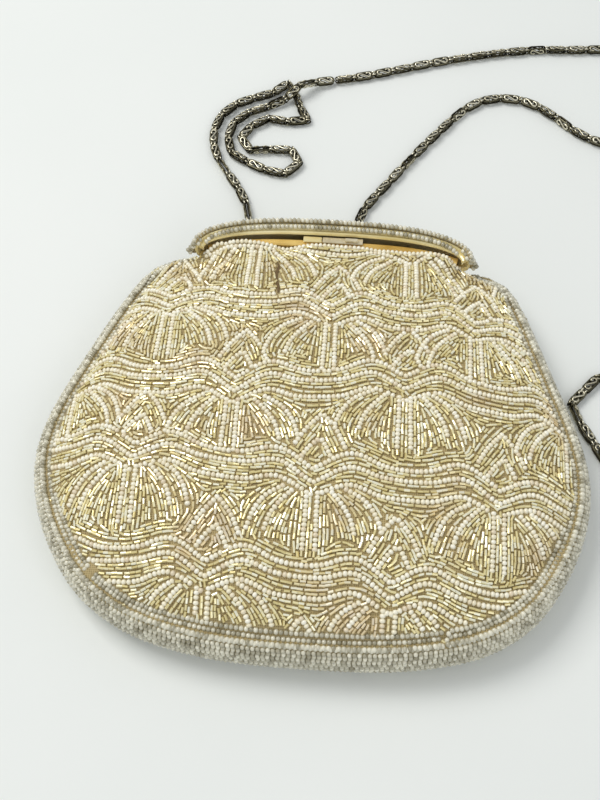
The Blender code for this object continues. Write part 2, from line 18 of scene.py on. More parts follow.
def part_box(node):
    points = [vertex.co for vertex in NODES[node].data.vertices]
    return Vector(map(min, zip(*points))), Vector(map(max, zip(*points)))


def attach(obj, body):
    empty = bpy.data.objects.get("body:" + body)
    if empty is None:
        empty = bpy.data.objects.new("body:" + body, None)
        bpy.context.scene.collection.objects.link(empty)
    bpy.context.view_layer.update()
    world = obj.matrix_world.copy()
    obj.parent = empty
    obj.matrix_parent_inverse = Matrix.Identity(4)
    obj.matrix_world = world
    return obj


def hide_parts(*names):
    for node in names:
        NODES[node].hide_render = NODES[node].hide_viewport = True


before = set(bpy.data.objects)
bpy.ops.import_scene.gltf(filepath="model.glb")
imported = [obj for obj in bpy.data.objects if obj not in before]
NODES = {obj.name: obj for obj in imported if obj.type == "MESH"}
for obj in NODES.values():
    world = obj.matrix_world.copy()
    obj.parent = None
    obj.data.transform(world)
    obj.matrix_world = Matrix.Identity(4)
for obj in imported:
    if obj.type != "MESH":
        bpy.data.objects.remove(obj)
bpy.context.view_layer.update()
MM = 0.001

# %% [markdown]
# The camera looks down at the clutch from in front, as the photograph does. Its place and
# turn were found by matching the outline of the solids, so they are plain numbers here.

# %% Camera
CAMERA_TURN = math.radians(4.03)
CAMERA_RISE = math.radians(59.5)
CAMERA_PLACE = Vector((0.00697, -0.20017, 0.38409))
CAMERA_LENS = 51.75


def add_camera():
    data = bpy.data.cameras.new("camera")
    data.lens = CAMERA_LENS
    camera = bpy.data.objects.new("camera", data)
    bpy.context.scene.collection.objects.link(camera)
    back = Vector((math.sin(CAMERA_TURN) * math.cos(CAMERA_RISE),
                   -math.cos(CAMERA_TURN) * math.cos(CAMERA_RISE), math.sin(CAMERA_RISE)))
    camera.location = CAMERA_PLACE
    camera.rotation_euler = (-back).to_track_quat("-Z", "Y").to_euler()
    bpy.context.scene.camera = camera


add_camera()
print("camera height in mm:", round(CAMERA_PLACE.z / MM))

# %% [markdown]
# A material here is a Principled shader with a few nodes in front of it. Two helpers keep
# the later cells short: one makes the material, one adds a node with its settings.

# %% Material helpers
def shader_of(material):
    return material.node_tree.nodes["Principled BSDF"]


def new_material(name, colour, roughness, metallic=0.0, **sockets):
    """A Principled material. Extra sockets are given by name, with _ for a space."""
    material = bpy.data.materials.new(name)
    material.use_nodes = True
    shader = shader_of(material)
    shader.inputs["Base Color"].default_value = (*colour, 1.0)
    shader.inputs["Roughness"].default_value = roughness
    shader.inputs["Metallic"].default_value = metallic
    for socket, value in sockets.items():
        shader.inputs[socket.replace("_", " ")].default_value = value
    return material


def add_node(material, kind, **settings):
    """A shader node. A setting that names an input socket fills it, others are properties."""
    node = material.node_tree.nodes.new(kind)
    for name, value in settings.items():
        if hasattr(node, name):
            setattr(node, name, value)
        else:
            node.inputs[name.replace("_", " ")].default_value = value
    return node


def join(material, source, output, target, socket):
    material.node_tree.links.new(source.outputs[output], target.inputs[socket])


def colour_ramp(material, stops):
    """A ramp through (place, colour) stops."""
    ramp = add_node(material, "ShaderNodeValToRGB")
    elements = ramp.color_ramp.elements
    while len(elements) < len(stops):
        elements.new(0.5)
    for element, (place, colour) in zip(elements, stops):
        element.position = place
        element.color = (*colour, 1.0)
    return ramp


def colour_by(material, source, output, stops):
    """Colours the surface along a ramp that reads another node."""
    ramp = colour_ramp(material, stops)
    join(material, source, output, ramp, "Fac")
    join(material, ramp, "Color", shader_of(material), "Base Color")
    return ramp


def noise(material, scale, detail=4.0, stretch=(1.0, 1.0, 1.0)):
    """Noise in object coordinates, drawn out along the axes by stretch."""
    place = add_node(material, "ShaderNodeTexCoord")
    mapping = add_node(material, "ShaderNodeMapping")
    mapping.inputs["Scale"].default_value = stretch
    join(material, place, "Object", mapping, "Vector")
    texture = add_node(material, "ShaderNodeTexNoise", Scale=scale, Detail=detail)
    join(material, mapping, "Vector", texture, "Vector")
    return texture


def bump(material, source, output, strength, distance):
    node = add_node(material, "ShaderNodeBump", Strength=strength, Distance=distance)
    join(material, source, output, node, "Height")
    join(material, node, "Normal", shader_of(material), "Normal")


print("material helpers ready")

# %% [markdown]
# The bag lies on a pale table under soft daylight. A wide panel above and behind gives the
# soft light from the upper left, and a pale sky fills the shadows.

# %% Table and light
TABLE_SIZE = 4.0
TABLE_STOPS = ((0.3, (0.82, 0.85, 0.83)), (0.7, (0.85, 0.875, 0.855)))


def add_table():
    bm = bmesh.new()
    bmesh.ops.create_grid(bm, x_segments=2, y_segments=2, size=TABLE_SIZE / 2)
    mesh = bpy.data.meshes.new("table")
    bm.to_mesh(mesh)
    bm.free()
    material = new_material("table", (0.83, 0.86, 0.84), 0.75)
    colour_by(material, noise(material, 7.0), "Fac", TABLE_STOPS)
    mesh.materials.append(material)
    table = bpy.data.objects.new("table", mesh)
    bpy.context.scene.collection.objects.link(table)


def add_light(name, place, size, power, colour):
    data = bpy.data.lights.new(name, "AREA")
    data.size = size
    data.energy = power
    data.color = colour
    light = bpy.data.objects.new(name, data)
    light.location = place
    light.rotation_euler = (-Vector(place)).to_track_quat("-Z", "Y").to_euler()
    bpy.context.scene.collection.objects.link(light)


def add_sky(colour, strength):
    world = bpy.data.worlds.new("sky")
    bpy.context.scene.world = world
    world.use_nodes = True
    background = world.node_tree.nodes["Background"]
    background.inputs["Color"].default_value = (*colour, 1.0)
    background.inputs["Strength"].default_value = strength


add_table()
add_light("window", (-0.72, 0.42, 1.20), 0.75, 10.8, (1.0, 0.985, 0.95))
add_light("room", (0.6, -0.8, 1.0), 0.9, 2.6, (0.97, 0.985, 1.0))
add_sky((0.975, 0.99, 1.0), 0.52)
bpy.context.scene.view_settings.view_transform = "Standard"
print("table and lights ready")

# %% [markdown]
# The pouch is cloth that is beaded all over. The CAD walls reach to the tops of the beads,
# so the cloth is a copy of each wall with its outer side let in by the beads' height.

# %% Cloth shells
BEAD_HEIGHT = 1.25 * MM
POUCH_MIDDLE = Vector((0.0, 0.0, 0.012))
NEAR_POINTS = 0.001 * MM
CLOTH_STOPS = ((0.2, (0.27, 0.20, 0.08)), (0.9, (0.50, 0.40, 0.20)))


def merged_copy(node):
    """The CAD node's mesh with its loose triangles joined."""
    bm = bmesh.new()
    bm.from_mesh(NODES[node].data)
    bmesh.ops.remove_doubles(bm, verts=bm.verts, dist=NEAR_POINTS)
    bm.normal_update()
    return bm


def show(name, mesh):
    """Puts a finished mesh in the scene as a piece that rides on the bag."""
    item = bpy.data.objects.new(name, mesh)
    bpy.context.scene.collection.objects.link(item)
    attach(item, "root")
    return item


def add_object(bm, name, material):
    """Turns a bmesh into a smooth shown piece."""
    mesh = bpy.data.meshes.new(name)
    bm.to_mesh(mesh)
    bm.free()
    mesh.materials.append(material)
    for polygon in mesh.polygons:
        polygon.use_smooth = True
    return show(name, mesh)


def cloth_material():
    """Tan net cloth: fine threads crossing at right angles."""
    material = new_material("bead_cloth", (0.36, 0.28, 0.13), 0.85, Sheen_Weight=0.2)
    place = add_node(material, "ShaderNodeTexCoord")
    weave = add_node(material, "ShaderNodeMath", operation="MAXIMUM")
    for number, direction in enumerate("XY"):
        threads = add_node(material, "ShaderNodeTexWave", bands_direction=direction,
                           Scale=420.0, Distortion=0.6, Detail=1.0)
        join(material, place, "Object", threads, "Vector")
        join(material, threads, "Fac", weave, number)
    colour_by(material, weave, "Value", CLOTH_STOPS)
    bump(material, weave, "Value", 0.4, 0.2 * MM)
    return material


CLOTH = cloth_material()


def add_cloth(name, node):
    """A wall whose outer side is let in along its normals."""
    bm = merged_copy(node)
    moves = [(v, v.normal.copy()) for v in bm.verts
             if (v.co - POUCH_MIDDLE).dot(v.normal) > 0]
    for vert, outward in moves:
        vert.co -= outward * BEAD_HEIGHT
    return add_object(bm, name, CLOTH)


front_cloth = add_cloth("front_cloth", "front_panel")
back_cloth = add_cloth("back_cloth", "back_panel")
band_cloth = add_cloth("band_cloth", "side_band")
lid_cloth = add_cloth("lid_cloth", "lid_cover")
print("front cloth faces:", len(front_cloth.data.polygons))

# %% [markdown]
# Thousands of beads would be slow to place by hand or as objects. One bead is modelled, and
# its copies are joined in one mesh, each turned along its thread. A number kept on each
# copy lets the material vary from bead to bead.

# %% Stamping beads
TRIANGLES = []


def bead_template(segments, rings):
    """A round seed bead of unit radius, a little flattened along its thread, the X axis."""
    bm = bmesh.new()
    bmesh.ops.create_uvsphere(bm, u_segments=segments, v_segments=rings, radius=1.0)
    bmesh.ops.rotate(bm, verts=bm.verts, matrix=Matrix.Rotation(math.pi / 2, 3, "Y"))
    bmesh.ops.scale(bm, vec=(0.80, 1.0, 1.0), verts=bm.verts)
    return bm


def cut_bead_template():
    """A short six-sided cut bead along the X axis, of unit length and unit width."""
    bm = bmesh.new()
    bmesh.ops.create_cone(bm, cap_ends=True, segments=6, radius1=0.5, radius2=0.5, depth=1.0)
    bmesh.ops.rotate(bm, verts=bm.verts, matrix=Matrix.Rotation(math.pi / 2, 3, "Y"))
    return bm


def template_arrays(bm):
    """The template's points, its faces' corners in one row, and each face's corner count."""
    bm.verts.ensure_lookup_table()
    points = np.array([v.co[:] for v in bm.verts])
    corners = np.array([v.index for f in bm.faces for v in f.verts])
    counts = np.array([len(f.verts) for f in bm.faces])
    bm.free()
    return points, corners, counts


def stamp(name, template, beads, material, smooth=True, painted_light_and_wear=None):
    """Joins one copy of the template for each bead: place, thread, up, size and tint.

    The point function, if given, turns a template point into a number that is added to the tint:
    painted light along the gold beads' tops, and wear with painted highlights and shade on the
    chain's links.
    """
    points, corners, counts = template_arrays(template)
    places, threads, ups, sizes = (np.array([bead[key] for bead in beads])
                                   for key in ("place", "thread", "up", "size"))
    sides = np.cross(ups, threads)
    sides /= np.linalg.norm(sides, axis=1, keepdims=True)
    ups = np.cross(threads, sides)
    turns = np.stack([threads, sides, ups], axis=2)
    copies = np.einsum("nij,nkj->nki", turns, points[None] * sizes[:, None, :])
    copies += places[:, None, :]
    total = len(beads)
    mesh = bpy.data.meshes.new(name)
    mesh.vertices.add(total * len(points))
    mesh.vertices.foreach_set("co", copies.reshape(-1))
    mesh.loops.add(total * len(corners))
    shifts = np.arange(total)[:, None] * len(points)
    mesh.loops.foreach_set("vertex_index", (corners[None] + shifts).reshape(-1))
    mesh.polygons.add(total * len(counts))
    all_counts = np.tile(counts, total)
    mesh.polygons.foreach_set("loop_start", np.concatenate([[0], np.cumsum(all_counts)[:-1]]))
    mesh.update(calc_edges=True)
    tints = mesh.attributes.new("tint", "FLOAT", "POINT")
    values = np.repeat([bead["tint"] for bead in beads], len(points))
    # Painted light: the point function makes parts of each copy lighter or darker in colour.
    if painted_light_and_wear is not None:
        values += np.tile([painted_light_and_wear(point) for point in points], total)
    tints.data.foreach_set("value", values)
    mesh.polygons.foreach_set("use_smooth", np.full(total * len(counts), smooth))
    mesh.materials.append(material)
    triangles = int((counts - 2).sum()) * total
    TRIANGLES.append(triangles)
    print(f"{name}: {total} copies, {triangles} triangles, {sum(TRIANGLES)} so far")
    return show(name, mesh)


print("bead tools ready")

# %% [markdown]
# Pearl seed beads are glossy and milky, and each differs a little. Gold cut beads are glass
# lined with metal, so some flash and others look brown. Both read the number of each copy.

# %% Bead finishes
PATCH_SHARE = ((0.54, (0.0, 0.0, 0.0)), (0.70, (0.55, 0.55, 0.55)))
PATCH_SCALE = 38.0


def bead_material(name, stops, roughness, metallic, patch=None, **sockets):
    """Colour stops by bead. A patch colour, if given, warms broad areas here and there."""
    material = new_material(name, stops[0][1], roughness, metallic, **sockets)
    tint = add_node(material, "ShaderNodeAttribute", attribute_name="tint")
    ramp = colour_by(material, tint, "Fac", stops)
    if patch is not None:
        areas = noise(material, PATCH_SCALE, 1.0)
        share = colour_ramp(material, PATCH_SHARE)
        join(material, areas, "Fac", share, "Fac")
        mix = add_node(material, "ShaderNodeMixRGB", Color2=(*patch, 1.0))
        join(material, share, "Color", mix, "Fac")
        join(material, ramp, "Color", mix, "Color1")
        join(material, mix, "Color", shader_of(material), "Base Color")
    return material


PEARL = bead_material("pearl_bead", [(0.0, (0.80, 0.69, 0.50)), (0.15, (0.92, 0.85, 0.64)),
                                     (0.6, (0.97, 0.92, 0.74)), (1.0, (1.0, 0.97, 0.84))],
                      0.28, 0.0, Coat_Weight=0.5, Coat_Roughness=0.15)
GOLD_BEAD = bead_material("gold_bead", [(0.0, (0.46, 0.35, 0.12)), (0.35, (0.78, 0.66, 0.30)),
                                        (0.75, (0.97, 0.88, 0.52)), (1.0, (1.0, 0.98, 0.78))],
                          0.26, 0.35, Coat_Weight=0.6, Coat_Roughness=0.08,
                          patch=(0.76, 0.58, 0.38))
CLEAR_PEARL = bead_material("clear_pearl_bead", [(0.0, (0.32, 0.29, 0.19)),
                                                 (0.4, (0.61, 0.58, 0.45)),
                                                 (1.0, (0.87, 0.84, 0.69))],
                            0.16, 0.0, Coat_Weight=0.8, Coat_Roughness=0.06)
print("bead finishes ready")

# %% [markdown]
# The front is worked in a traditional fan lattice. Rows of nodes stand staggered. From each
# node a fan of pearl lines opens downwards, wavy triple bands join neighbouring nodes, and
# small double peaks stand above the nodes. The lines are drawn flat, in millimetres.

# %% Fan lattice
FAN_ROWS = (
    ((-92, 86), (-30, 82), (31, 80), (86, 84)),
    ((-121, 52), (-60, 48.5), (1.5, 43.5), (55.5, 44), (115, 42)),
    ((-93, 14), (-31.5, 8.5), (29.5, 13.5), (91, 10)),
    ((-128, -14), (-64.5, -18.5), (-1, -26), (63, -27.5), (126, -30)),
    ((-97, -56), (-35, -60), (27, -63.5), (88, -66)),
    ((-66, -95), (-4, -98), (58, -100)),
)
# Heights of the three band lines over the line from node to node, up to half the way
BAND_SHARES = (0.00, 0.06, 0.13, 0.20, 0.27, 0.35, 0.43, 0.50)
BAND_HEIGHTS = (
    (5.2, 7.6, 10.6, 12.0, 11.2, 8.8, 7.6, 7.4),
    (-0.2, 2.2, 5.2, 6.8, 6.0, 4.2, 3.6, 3.4),
    (-5.2, -3.2, -1.0, 0.2, -0.8, -2.8, -3.4, -3.4),
)
STEM = ((2.0, -3.6), (2.0, -12.0), (2.2, -18.0), (2.3, -24.5))
INNER_PETAL = ((7.2, -3.2), (11.4, -7.6), (14.8, -12.8), (16.6, -18.6))
OUTER_PETAL = ((10.6, -1.8), (16.6, -5.4), (20.6, -10.8), (23.0, -17.6))
OUTER_PEAK = ((-7.2, 14.6), (-3.4, 21.0), (1.6, 27.0), (6.6, 21.0), (10.2, 13.8))
INNER_PEAK = ((-4.0, 9.6), (-1.2, 13.8), (2.2, 17.2), (4.6, 13.2), (6.4, 9.4))
SPREAD_VARIES = 0.09
LEAN_VARIES = 0.8
LIFT_VARIES = 0.12


def smooth_line(points, steps=6):
    """A smooth curve through points, with steps for each span."""
    points = [Vector(p) for p in points]
    ends = [2 * points[0] - points[1], *points, 2 * points[-1] - points[-2]]
    line = []
    for a, b, c, d in zip(ends, ends[1:], ends[2:], ends[3:]):
        for step in range(steps):
            t = step / steps
            line.append(0.5 * (2 * b + (c - a) * t + (2 * a - 5 * b + 4 * c - d) * t * t
                               + (3 * b - a - 3 * c + d) * t ** 3))
    return [*line, points[-1]]


def fan_lines(chance):
    """All the pearl lines of the lattice, as smooth flat lines."""
    lines = []
    for row in FAN_ROWS:
        nodes = [Vector(node) for node in row]
        for node in nodes:
            for side in (-1, 1):
                for shape in (STEM, INNER_PETAL, OUTER_PETAL):
                    spread = 1 + chance.uniform(-SPREAD_VARIES, SPREAD_VARIES)
                    lines.append(smooth_line([node + Vector((side * x * spread, y))
                                              for x, y in shape]))
            for shape in (OUTER_PEAK, INNER_PEAK):
                top = len(shape) // 2
                lean = chance.uniform(-LEAN_VARIES, LEAN_VARIES)
                for half in (shape[:top + 1], shape[top:]):
                    lines.append(smooth_line([node + Vector((x + lean, y)) for x, y in half]))
        for start, end in zip(nodes, nodes[1:]):
            lift = 1 + chance.uniform(-LIFT_VARIES, LIFT_VARIES)
            for heights in BAND_HEIGHTS:
                shape = list(zip(BAND_SHARES, heights))
                shape += [(1 - share, height) for share, height in reversed(shape[:-1])]
                lines.append(smooth_line([start.lerp(end, share) + Vector((0, height * lift))
                                          for share, height in shape]))
    return lines


CHANCE = random.Random(7)
FRONT_LINES = fan_lines(CHANCE)
print("lattice lines:", len(FRONT_LINES))

# %% [markdown]
# The lines are laid on the crowned panel by dropping each point onto it. A height map of
# the panel, read once from the CAD solid, makes that quick: it holds the top face's height
# every millimetre, and slopes come from it too.

# %% Height maps
SLOPE_REACH = 0.7


def tree_of(node):
    """A search tree over a node's faces."""
    bm = merged_copy(node)
    tree = BVHTree.FromBMesh(bm)
    bm.free()
    return tree


class HeightMap:
    """One face of a node: side 1 is seen from above and -1 from below. In millimetres."""

    def __init__(self, node, side, puff=None):
        self.puff = puff
        self.tree = tree_of(node)
        self.side = side
        low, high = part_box(node)
        self.x0, self.y0 = low.x / MM - 2, low.y / MM - 2
        columns = int((high.x - low.x) / MM + 5)
        rows = int((high.y - low.y) / MM + 5)
        self.grid = np.array([[self.cast(self.x0 + i, self.y0 + j) for i in range(columns)]
                              for j in range(rows)])
        for _ in range(3):
            self.widen()

    def cast(self, x, y):
        """The face's height straight above or below a place, or not a number."""
        far = Vector((x * MM, y * MM, 0.2 * self.side))
        hit = self.tree.ray_cast(far, Vector((0, 0, -self.side)))[0]
        return hit.z / MM if hit is not None else math.nan

    def widen(self):
        """Carries the heights a square past the edge, so that slopes there are known."""
        empty = np.isnan(self.grid)
        near = np.stack([np.roll(self.grid, shift, axis) for shift in (1, -1) for axis in (0, 1)])
        counts = np.sum(~np.isnan(near), axis=0)
        sums = np.nansum(near, axis=0)
        fill = empty & (counts > 0)
        self.grid[fill] = sums[fill] / counts[fill]

    def height(self, x, y):
        i, j = x - self.x0, y - self.y0
        column, row = int(i), int(j)
        a, b = i - column, j - row
        cell = self.grid[row:row + 2, column:column + 2]
        return ((cell[0, 0] * (1 - a) + cell[0, 1] * a) * (1 - b)
                + (cell[1, 0] * (1 - a) + cell[1, 1] * a) * b)

    def place(self, x, y):
        """The point of the face and its outward normal, or None off the panel."""
        height = self.cast(x, y)
        if math.isnan(height):
            return None
        slope_x = self.height(x + SLOPE_REACH, y) - self.height(x - SLOPE_REACH, y)
        slope_y = self.height(x, y + SLOPE_REACH) - self.height(x, y - SLOPE_REACH)
        if math.isnan(slope_x) or math.isnan(slope_y):
            return None
        normal = Vector((-slope_x, -slope_y, 2 * SLOPE_REACH)).normalized() * self.side
        point = Vector((x, y, height))
        if self.puff is not None:
            point += self.puff(x, y)
        return point, normal


# The gathered cloth stands up over the front strip: how far, by x along the mouth
MOUTH_PUFFS = (
    (-52, 6.0), (-45, 9.2), (-39, 9.4), (-34, 8.6), (-29, 6.6), (-24.5, 3.7), (-20.5, 0.2),
    (-17.5, -0.2), (-13.8, 2.2), (-9.5, 4.8), (-4, 5.6), (3, 4.8), (9, 5.0), (13.8, 4.3),
    (18, 3.0), (22, 3.6), (29, 4.0), (34, 5.4), (39, 8.2), (43.5, 8.8), (48, 7.4), (54, 4.0),
)
PUFF_OVER = 0.21
PUFF_UP = 0.40
PUFF_FADE = 9.0
MOUTH_Y = 82.9
MOUTH_DROP = 4.0
MOUTH_HALF = 53


def mouth_puff(x, y):
    """The puff at a place of the front panel, fading away from the mouth."""
    rise = np.interp(x, *zip(*MOUTH_PUFFS))
    mouth = MOUTH_Y - MOUTH_DROP * (abs(x) / MOUTH_HALF) ** 4
    near = min(max(1 - (mouth - y) / PUFF_FADE, 0.0), 1.0)
    near = near * near * (3 - 2 * near)
    return Vector((0, rise * PUFF_OVER, rise * PUFF_UP)) * near


for vert in front_cloth.data.vertices:
    vert.co += mouth_puff(vert.co.x / MM, vert.co.y / MM) * MM

front_map = HeightMap("front_panel", 1, mouth_puff)
print("front heights:", round(float(np.nanmin(front_map.grid)), 1),
      round(float(np.nanmax(front_map.grid)), 1))

# %% [markdown]
# Pearls are threaded along the lines first, at an even pitch, as a needle would pick them
# up. A record of the beads laid so far, kept by small squares, keeps new ones clear of them.

# %% Threading pearls
PEARL_RADIUS = 1.10
PEARL_PITCH = 1.68
PEARL_NEAREST = PEARL_PITCH * 0.84
PEARL_KIND = -1
SQUARE = 2
LINE_STEP = 0.2
THREAD_BREAK = 3 * PEARL_PITCH


class Ground:
    """Beads laid so far, kept by small squares so that neighbours are quick to find."""

    def __init__(self):
        self.squares = {}

    def add(self, point, kind):
        square = (int(point.x // SQUARE), int(point.y // SQUARE))
        self.squares.setdefault(square, []).append((*point, kind))

    def is_clear(self, point, pearl_gap, gold_gap=0, ignore=None):
        column, row = int(point.x // SQUARE), int(point.y // SQUARE)
        for i in (column - 1, column, column + 1):
            for j in (row - 1, row, row + 1):
                for x, y, z, kind in self.squares.get((i, j), ()):
                    gap = pearl_gap if kind == PEARL_KIND else gold_gap
                    far = (x - point.x) ** 2 + (y - point.y) ** 2 + (z - point.z) ** 2
                    if kind != ignore and far < gap * gap:
                        return False
        return True


def lay_pearl(beads, ground, point, normal, along):
    """Lays a pearl unless another is too near, and says whether it did."""
    if not ground.is_clear(point, PEARL_NEAREST):
        return False
    ground.add(point, PEARL_KIND)
    beads.append({"point": point, "normal": normal, "along": along.normalized()})
    return True


def thread_pearls(lines, surface, ground):
    """Pearls at an even pitch along each line where it crosses the panel."""
    beads = []
    for line in lines:
        left = 0.0
        previous = None
        for a, b in zip(line, line[1:]):
            steps = max(int((b - a).length / LINE_STEP), 1)
            for step in range(steps):
                flat = a.lerp(b, step / steps)
                found = surface.place(flat.x, flat.y)
                if found is None:
                    previous = None
                    left = 0.0
                    continue
                point, normal = found
                before, previous = previous, point
                if before is None:
                    continue
                left -= (point - before).length
                if left > 0:
                    continue
                laid = lay_pearl(beads, ground, point, normal, point - before)
                left = left + PEARL_PITCH if laid else LINE_STEP
    return beads


def thread_row(places, ground, first=0.0):
    """Beads at an even pitch through a row of places, each a point and a normal or None."""
    beads = []
    left = first
    for start, end in zip(places, places[1:]):
        if start is None or end is None or (end[0] - start[0]).length > THREAD_BREAK:
            left = 0.0
            continue
        step = end[0] - start[0]
        span = step.length
        while left <= span and span > 0:
            point = start[0].lerp(end[0], left / span)
            laid = lay_pearl(beads, ground, point, start[1], step)
            left += PEARL_PITCH if laid else LINE_STEP
        left -= span
    return beads


def spans_of(places):
    """The way from each place to the next."""
    return [(b[0] - a[0]).length for a, b in zip(places, places[1:])]


print("pearls are threaded every", PEARL_PITCH, "mm")

# %% [markdown]
# Gold beads fill the ground in rows that follow the nearest pearl line, as a needleworker
# fills a shape. A map holds the pearls' direction at each square millimetre. A row grows
# both ways from a seed and stops before it touches a neighbour, and the next seeds lie
# beside it. Last, lone beads go into the small holes.

# %% Gold rows
GOLD_WIDTH = 1.00
GOLD_LENGTH = 2.00
GOLD_PITCH = 2.10
GOLD_PITCH_MOST = GOLD_PITCH * 1.08
GOLD_SUNK = 0.25
ROW_END_ROOM = 0.9
ROW_END_GAP = 0.2
ROW_SPACING = 1.10
ROW_NEAREST = ROW_SPACING * 0.88
SEED_NEAREST = ROW_SPACING * 0.97
ROW_STEP = 0.65
ROW_STEPS = 60
ROW_STRAIGHT = 0.8
STEEPEST = 0.45
PEARL_CLEARANCE = 1.42
SEED_EVERY = 3
SEED_MARGIN = 1.02
HOLE_STEP = 0.6
DIRECTION_REACH = 14
DIRECTION_BLUR = 1.5
DIRECTION_FALL = 1.6


def direction_map(beads, surface):
    """For each square millimetre, the direction of the pearl lines near it."""
    rows, columns = surface.grid.shape
    grid_x, grid_y = np.meshgrid(surface.x0 + np.arange(columns), surface.y0 + np.arange(rows))
    total = np.zeros((rows, columns, 2))
    for bead in beads:
        p, along = bead["point"], bead["along"]
        angle = 2 * math.atan2(along.y, along.x)
        part = tuple(slice(max(middle - DIRECTION_REACH, 0), middle + DIRECTION_REACH + 1)
                     for middle in (int(p.y - surface.y0), int(p.x - surface.x0)))
        far = (grid_x[part] - p.x) ** 2 + (grid_y[part] - p.y) ** 2
        weight = 1 / (far + DIRECTION_BLUR) ** DIRECTION_FALL
        total[part][..., 0] += weight * math.cos(angle)
        total[part][..., 1] += weight * math.sin(angle)
    return np.arctan2(total[..., 1], total[..., 0]) / 2


def angle_at(angles, surface, x, y):
    """The map's direction at a place, or None past its edge."""
    i, j = int(round(x - surface.x0)), int(round(y - surface.y0))
    inside = 0 <= i < angles.shape[1] and 0 <= j < angles.shape[0]
    return angles[j, i] if inside else None


def grow_row(seed, surface, angles, ground, kind):
    """One row of places through a seed, followed both ways until it meets something."""
    halves = []
    for way in (1, -1):
        path = []
        x, y = seed.x, seed.y
        heading = None
        while len(path) < ROW_STEPS:
            angle = angle_at(angles, surface, x, y)
            if angle is None:
                break
            step = Vector((math.cos(angle), math.sin(angle))) * way
            if heading is not None:
                if step.dot(heading) < 0:
                    step = -step
                step = (step + heading * ROW_STRAIGHT).normalized()
            heading = step
            x += step.x * ROW_STEP
            y += step.y * ROW_STEP
            found = surface.place(x, y)
            if found is None or not ground.is_clear(found[0], PEARL_CLEARANCE, ROW_NEAREST, kind):
                break
            path.append(found)
        halves.append(path)
    return [*reversed(halves[1]), surface.place(seed.x, seed.y), *halves[0]]


def gold_of_row(row, surface, angles):
    """Gold beads at an even pitch along a row of places."""
    travelled = list(accumulate(spans_of(row), initial=0.0))
    count = max(int((travelled[-1] + ROW_END_ROOM) / GOLD_PITCH), 1)
    pitch = min(GOLD_PITCH_MOST, (travelled[-1] + ROW_END_GAP) / max(count - 1, 1))
    offset = max((travelled[-1] - (count - 1) * pitch) / 2, 0.0)
    beads = []
    index = 0
    for number in range(count):
        wanted = offset + number * pitch
        while index < len(travelled) - 2 and travelled[index + 1] < wanted:
            index += 1
        point, normal = row[index]
        along = row[min(index + 1, len(row) - 1)][0] - row[max(index - 1, 0)][0]
        if along.length == 0:
            angle = angle_at(angles, surface, point.x, point.y)
            flat = Vector((math.cos(angle), math.sin(angle), 0.0))
            along = flat - normal * flat.dot(normal)
        beads.append({"point": point, "normal": normal, "along": along.normalized()})
    return beads


def fill_rows(surface, angles, ground, first_seeds, least=2):
    """Rows of gold beads over all the ground that the pearls leave."""
    beads = []
    seeds = list(first_seeds)
    kind = 0
    while seeds:
        seed = seeds.pop(0)
        found = surface.place(seed.x, seed.y)
        if found is None or not ground.is_clear(found[0], PEARL_CLEARANCE, SEED_NEAREST):
            continue
        row = grow_row(seed, surface, angles, ground, kind)
        laid = gold_of_row(row, surface, angles)
        if len(laid) < least:
            continue
        beads += laid
        for point, _ in row:
            ground.add(point, kind)
        for point, normal in row[::2]:
            angle = angle_at(angles, surface, point.x, point.y)
            across = Vector((-math.sin(angle), math.cos(angle))) * ROW_SPACING
            across *= max(abs(normal.z), STEEPEST) ** 0.5
            seeds += [point.xy + across, point.xy - across]
        kind += 1
    return beads


def bead_panel(surface, lines, ground):
    """Pearls along the lines and gold rows between them."""
    pearls = thread_pearls(lines, surface, ground)
    angles = direction_map(pearls, surface)
    seeds = []
    for bead in pearls[::SEED_EVERY]:
        across = Vector((-bead["along"].y, bead["along"].x)) * PEARL_CLEARANCE * SEED_MARGIN
        seeds += [bead["point"].xy + across, bead["point"].xy - across]
    gold = fill_rows(surface, angles, ground, seeds)
    rows, columns = surface.grid.shape
    holes = [Vector((surface.x0 + i * HOLE_STEP, surface.y0 + j * HOLE_STEP))
             for j in range(int(rows / HOLE_STEP)) for i in range(int(columns / HOLE_STEP))]
    return pearls, gold + fill_rows(surface, angles, ground, holes, least=1)


print("gold rows lie", ROW_SPACING, "mm apart")

# %% [markdown]
# A bead laid so far is a point on the panel, the way outwards and the way along its thread.
# Here each gets its size, its turn and a tint, all a little uneven, and is sunk by its
# radius so that its top just reaches the panel's face.

# %% Uneven beads
def pearl_rows(beads, chance):
    """Pearls ready to stamp, in metres."""
    rows = []
    for bead in beads:
        size = PEARL_RADIUS * chance.uniform(0.94, 1.05)
        centre = bead["point"] - bead["normal"] * size
        rows.append({"place": centre * MM, "thread": bead["along"], "up": bead["normal"],
                     "size": (size * MM,) * 3, "tint": chance.random()})
    return rows


def gold_rows(beads, chance):
    """Gold beads ready to stamp, sunk a little deeper than the pearls."""
    rows = []
    for bead in beads:
        width = GOLD_WIDTH * chance.uniform(0.92, 1.06)
        length = GOLD_LENGTH * chance.uniform(0.92, 1.05)
        centre = bead["point"] - bead["normal"] * (GOLD_SUNK + width / 2)
        side = bead["normal"].cross(bead["along"])
        up = (bead["normal"] + side * chance.uniform(-0.5, 0.5)).normalized()
        thread = (bead["along"] + side * chance.uniform(-0.1, 0.1)).normalized()
        rows.append({"place": centre * MM, "thread": thread, "up": up,
                     "size": (length * MM, width * MM, width * MM),
                     "tint": chance.uniform(0.1, 0.9)})
    return rows


def ridge_painted_highlight(point):
    """Painted highlight: a gold bead's colour is made lighter along its top and darker at its
    sides, for the shine of its lining.
    """
    return 0.7 * point[2] - 0.02


def even_normals(beads, reach=3):
    """Evens out the normals of neighbouring beads, which came from flat facets."""
    normals = [bead["normal"] for bead in beads]
    for i, bead in enumerate(beads):
        near = normals[max(i - reach, 0):i + reach + 1]
        bead["normal"] = sum(near, Vector()).normalized()
    return beads


print("gold beads are", GOLD_LENGTH, "mm long")

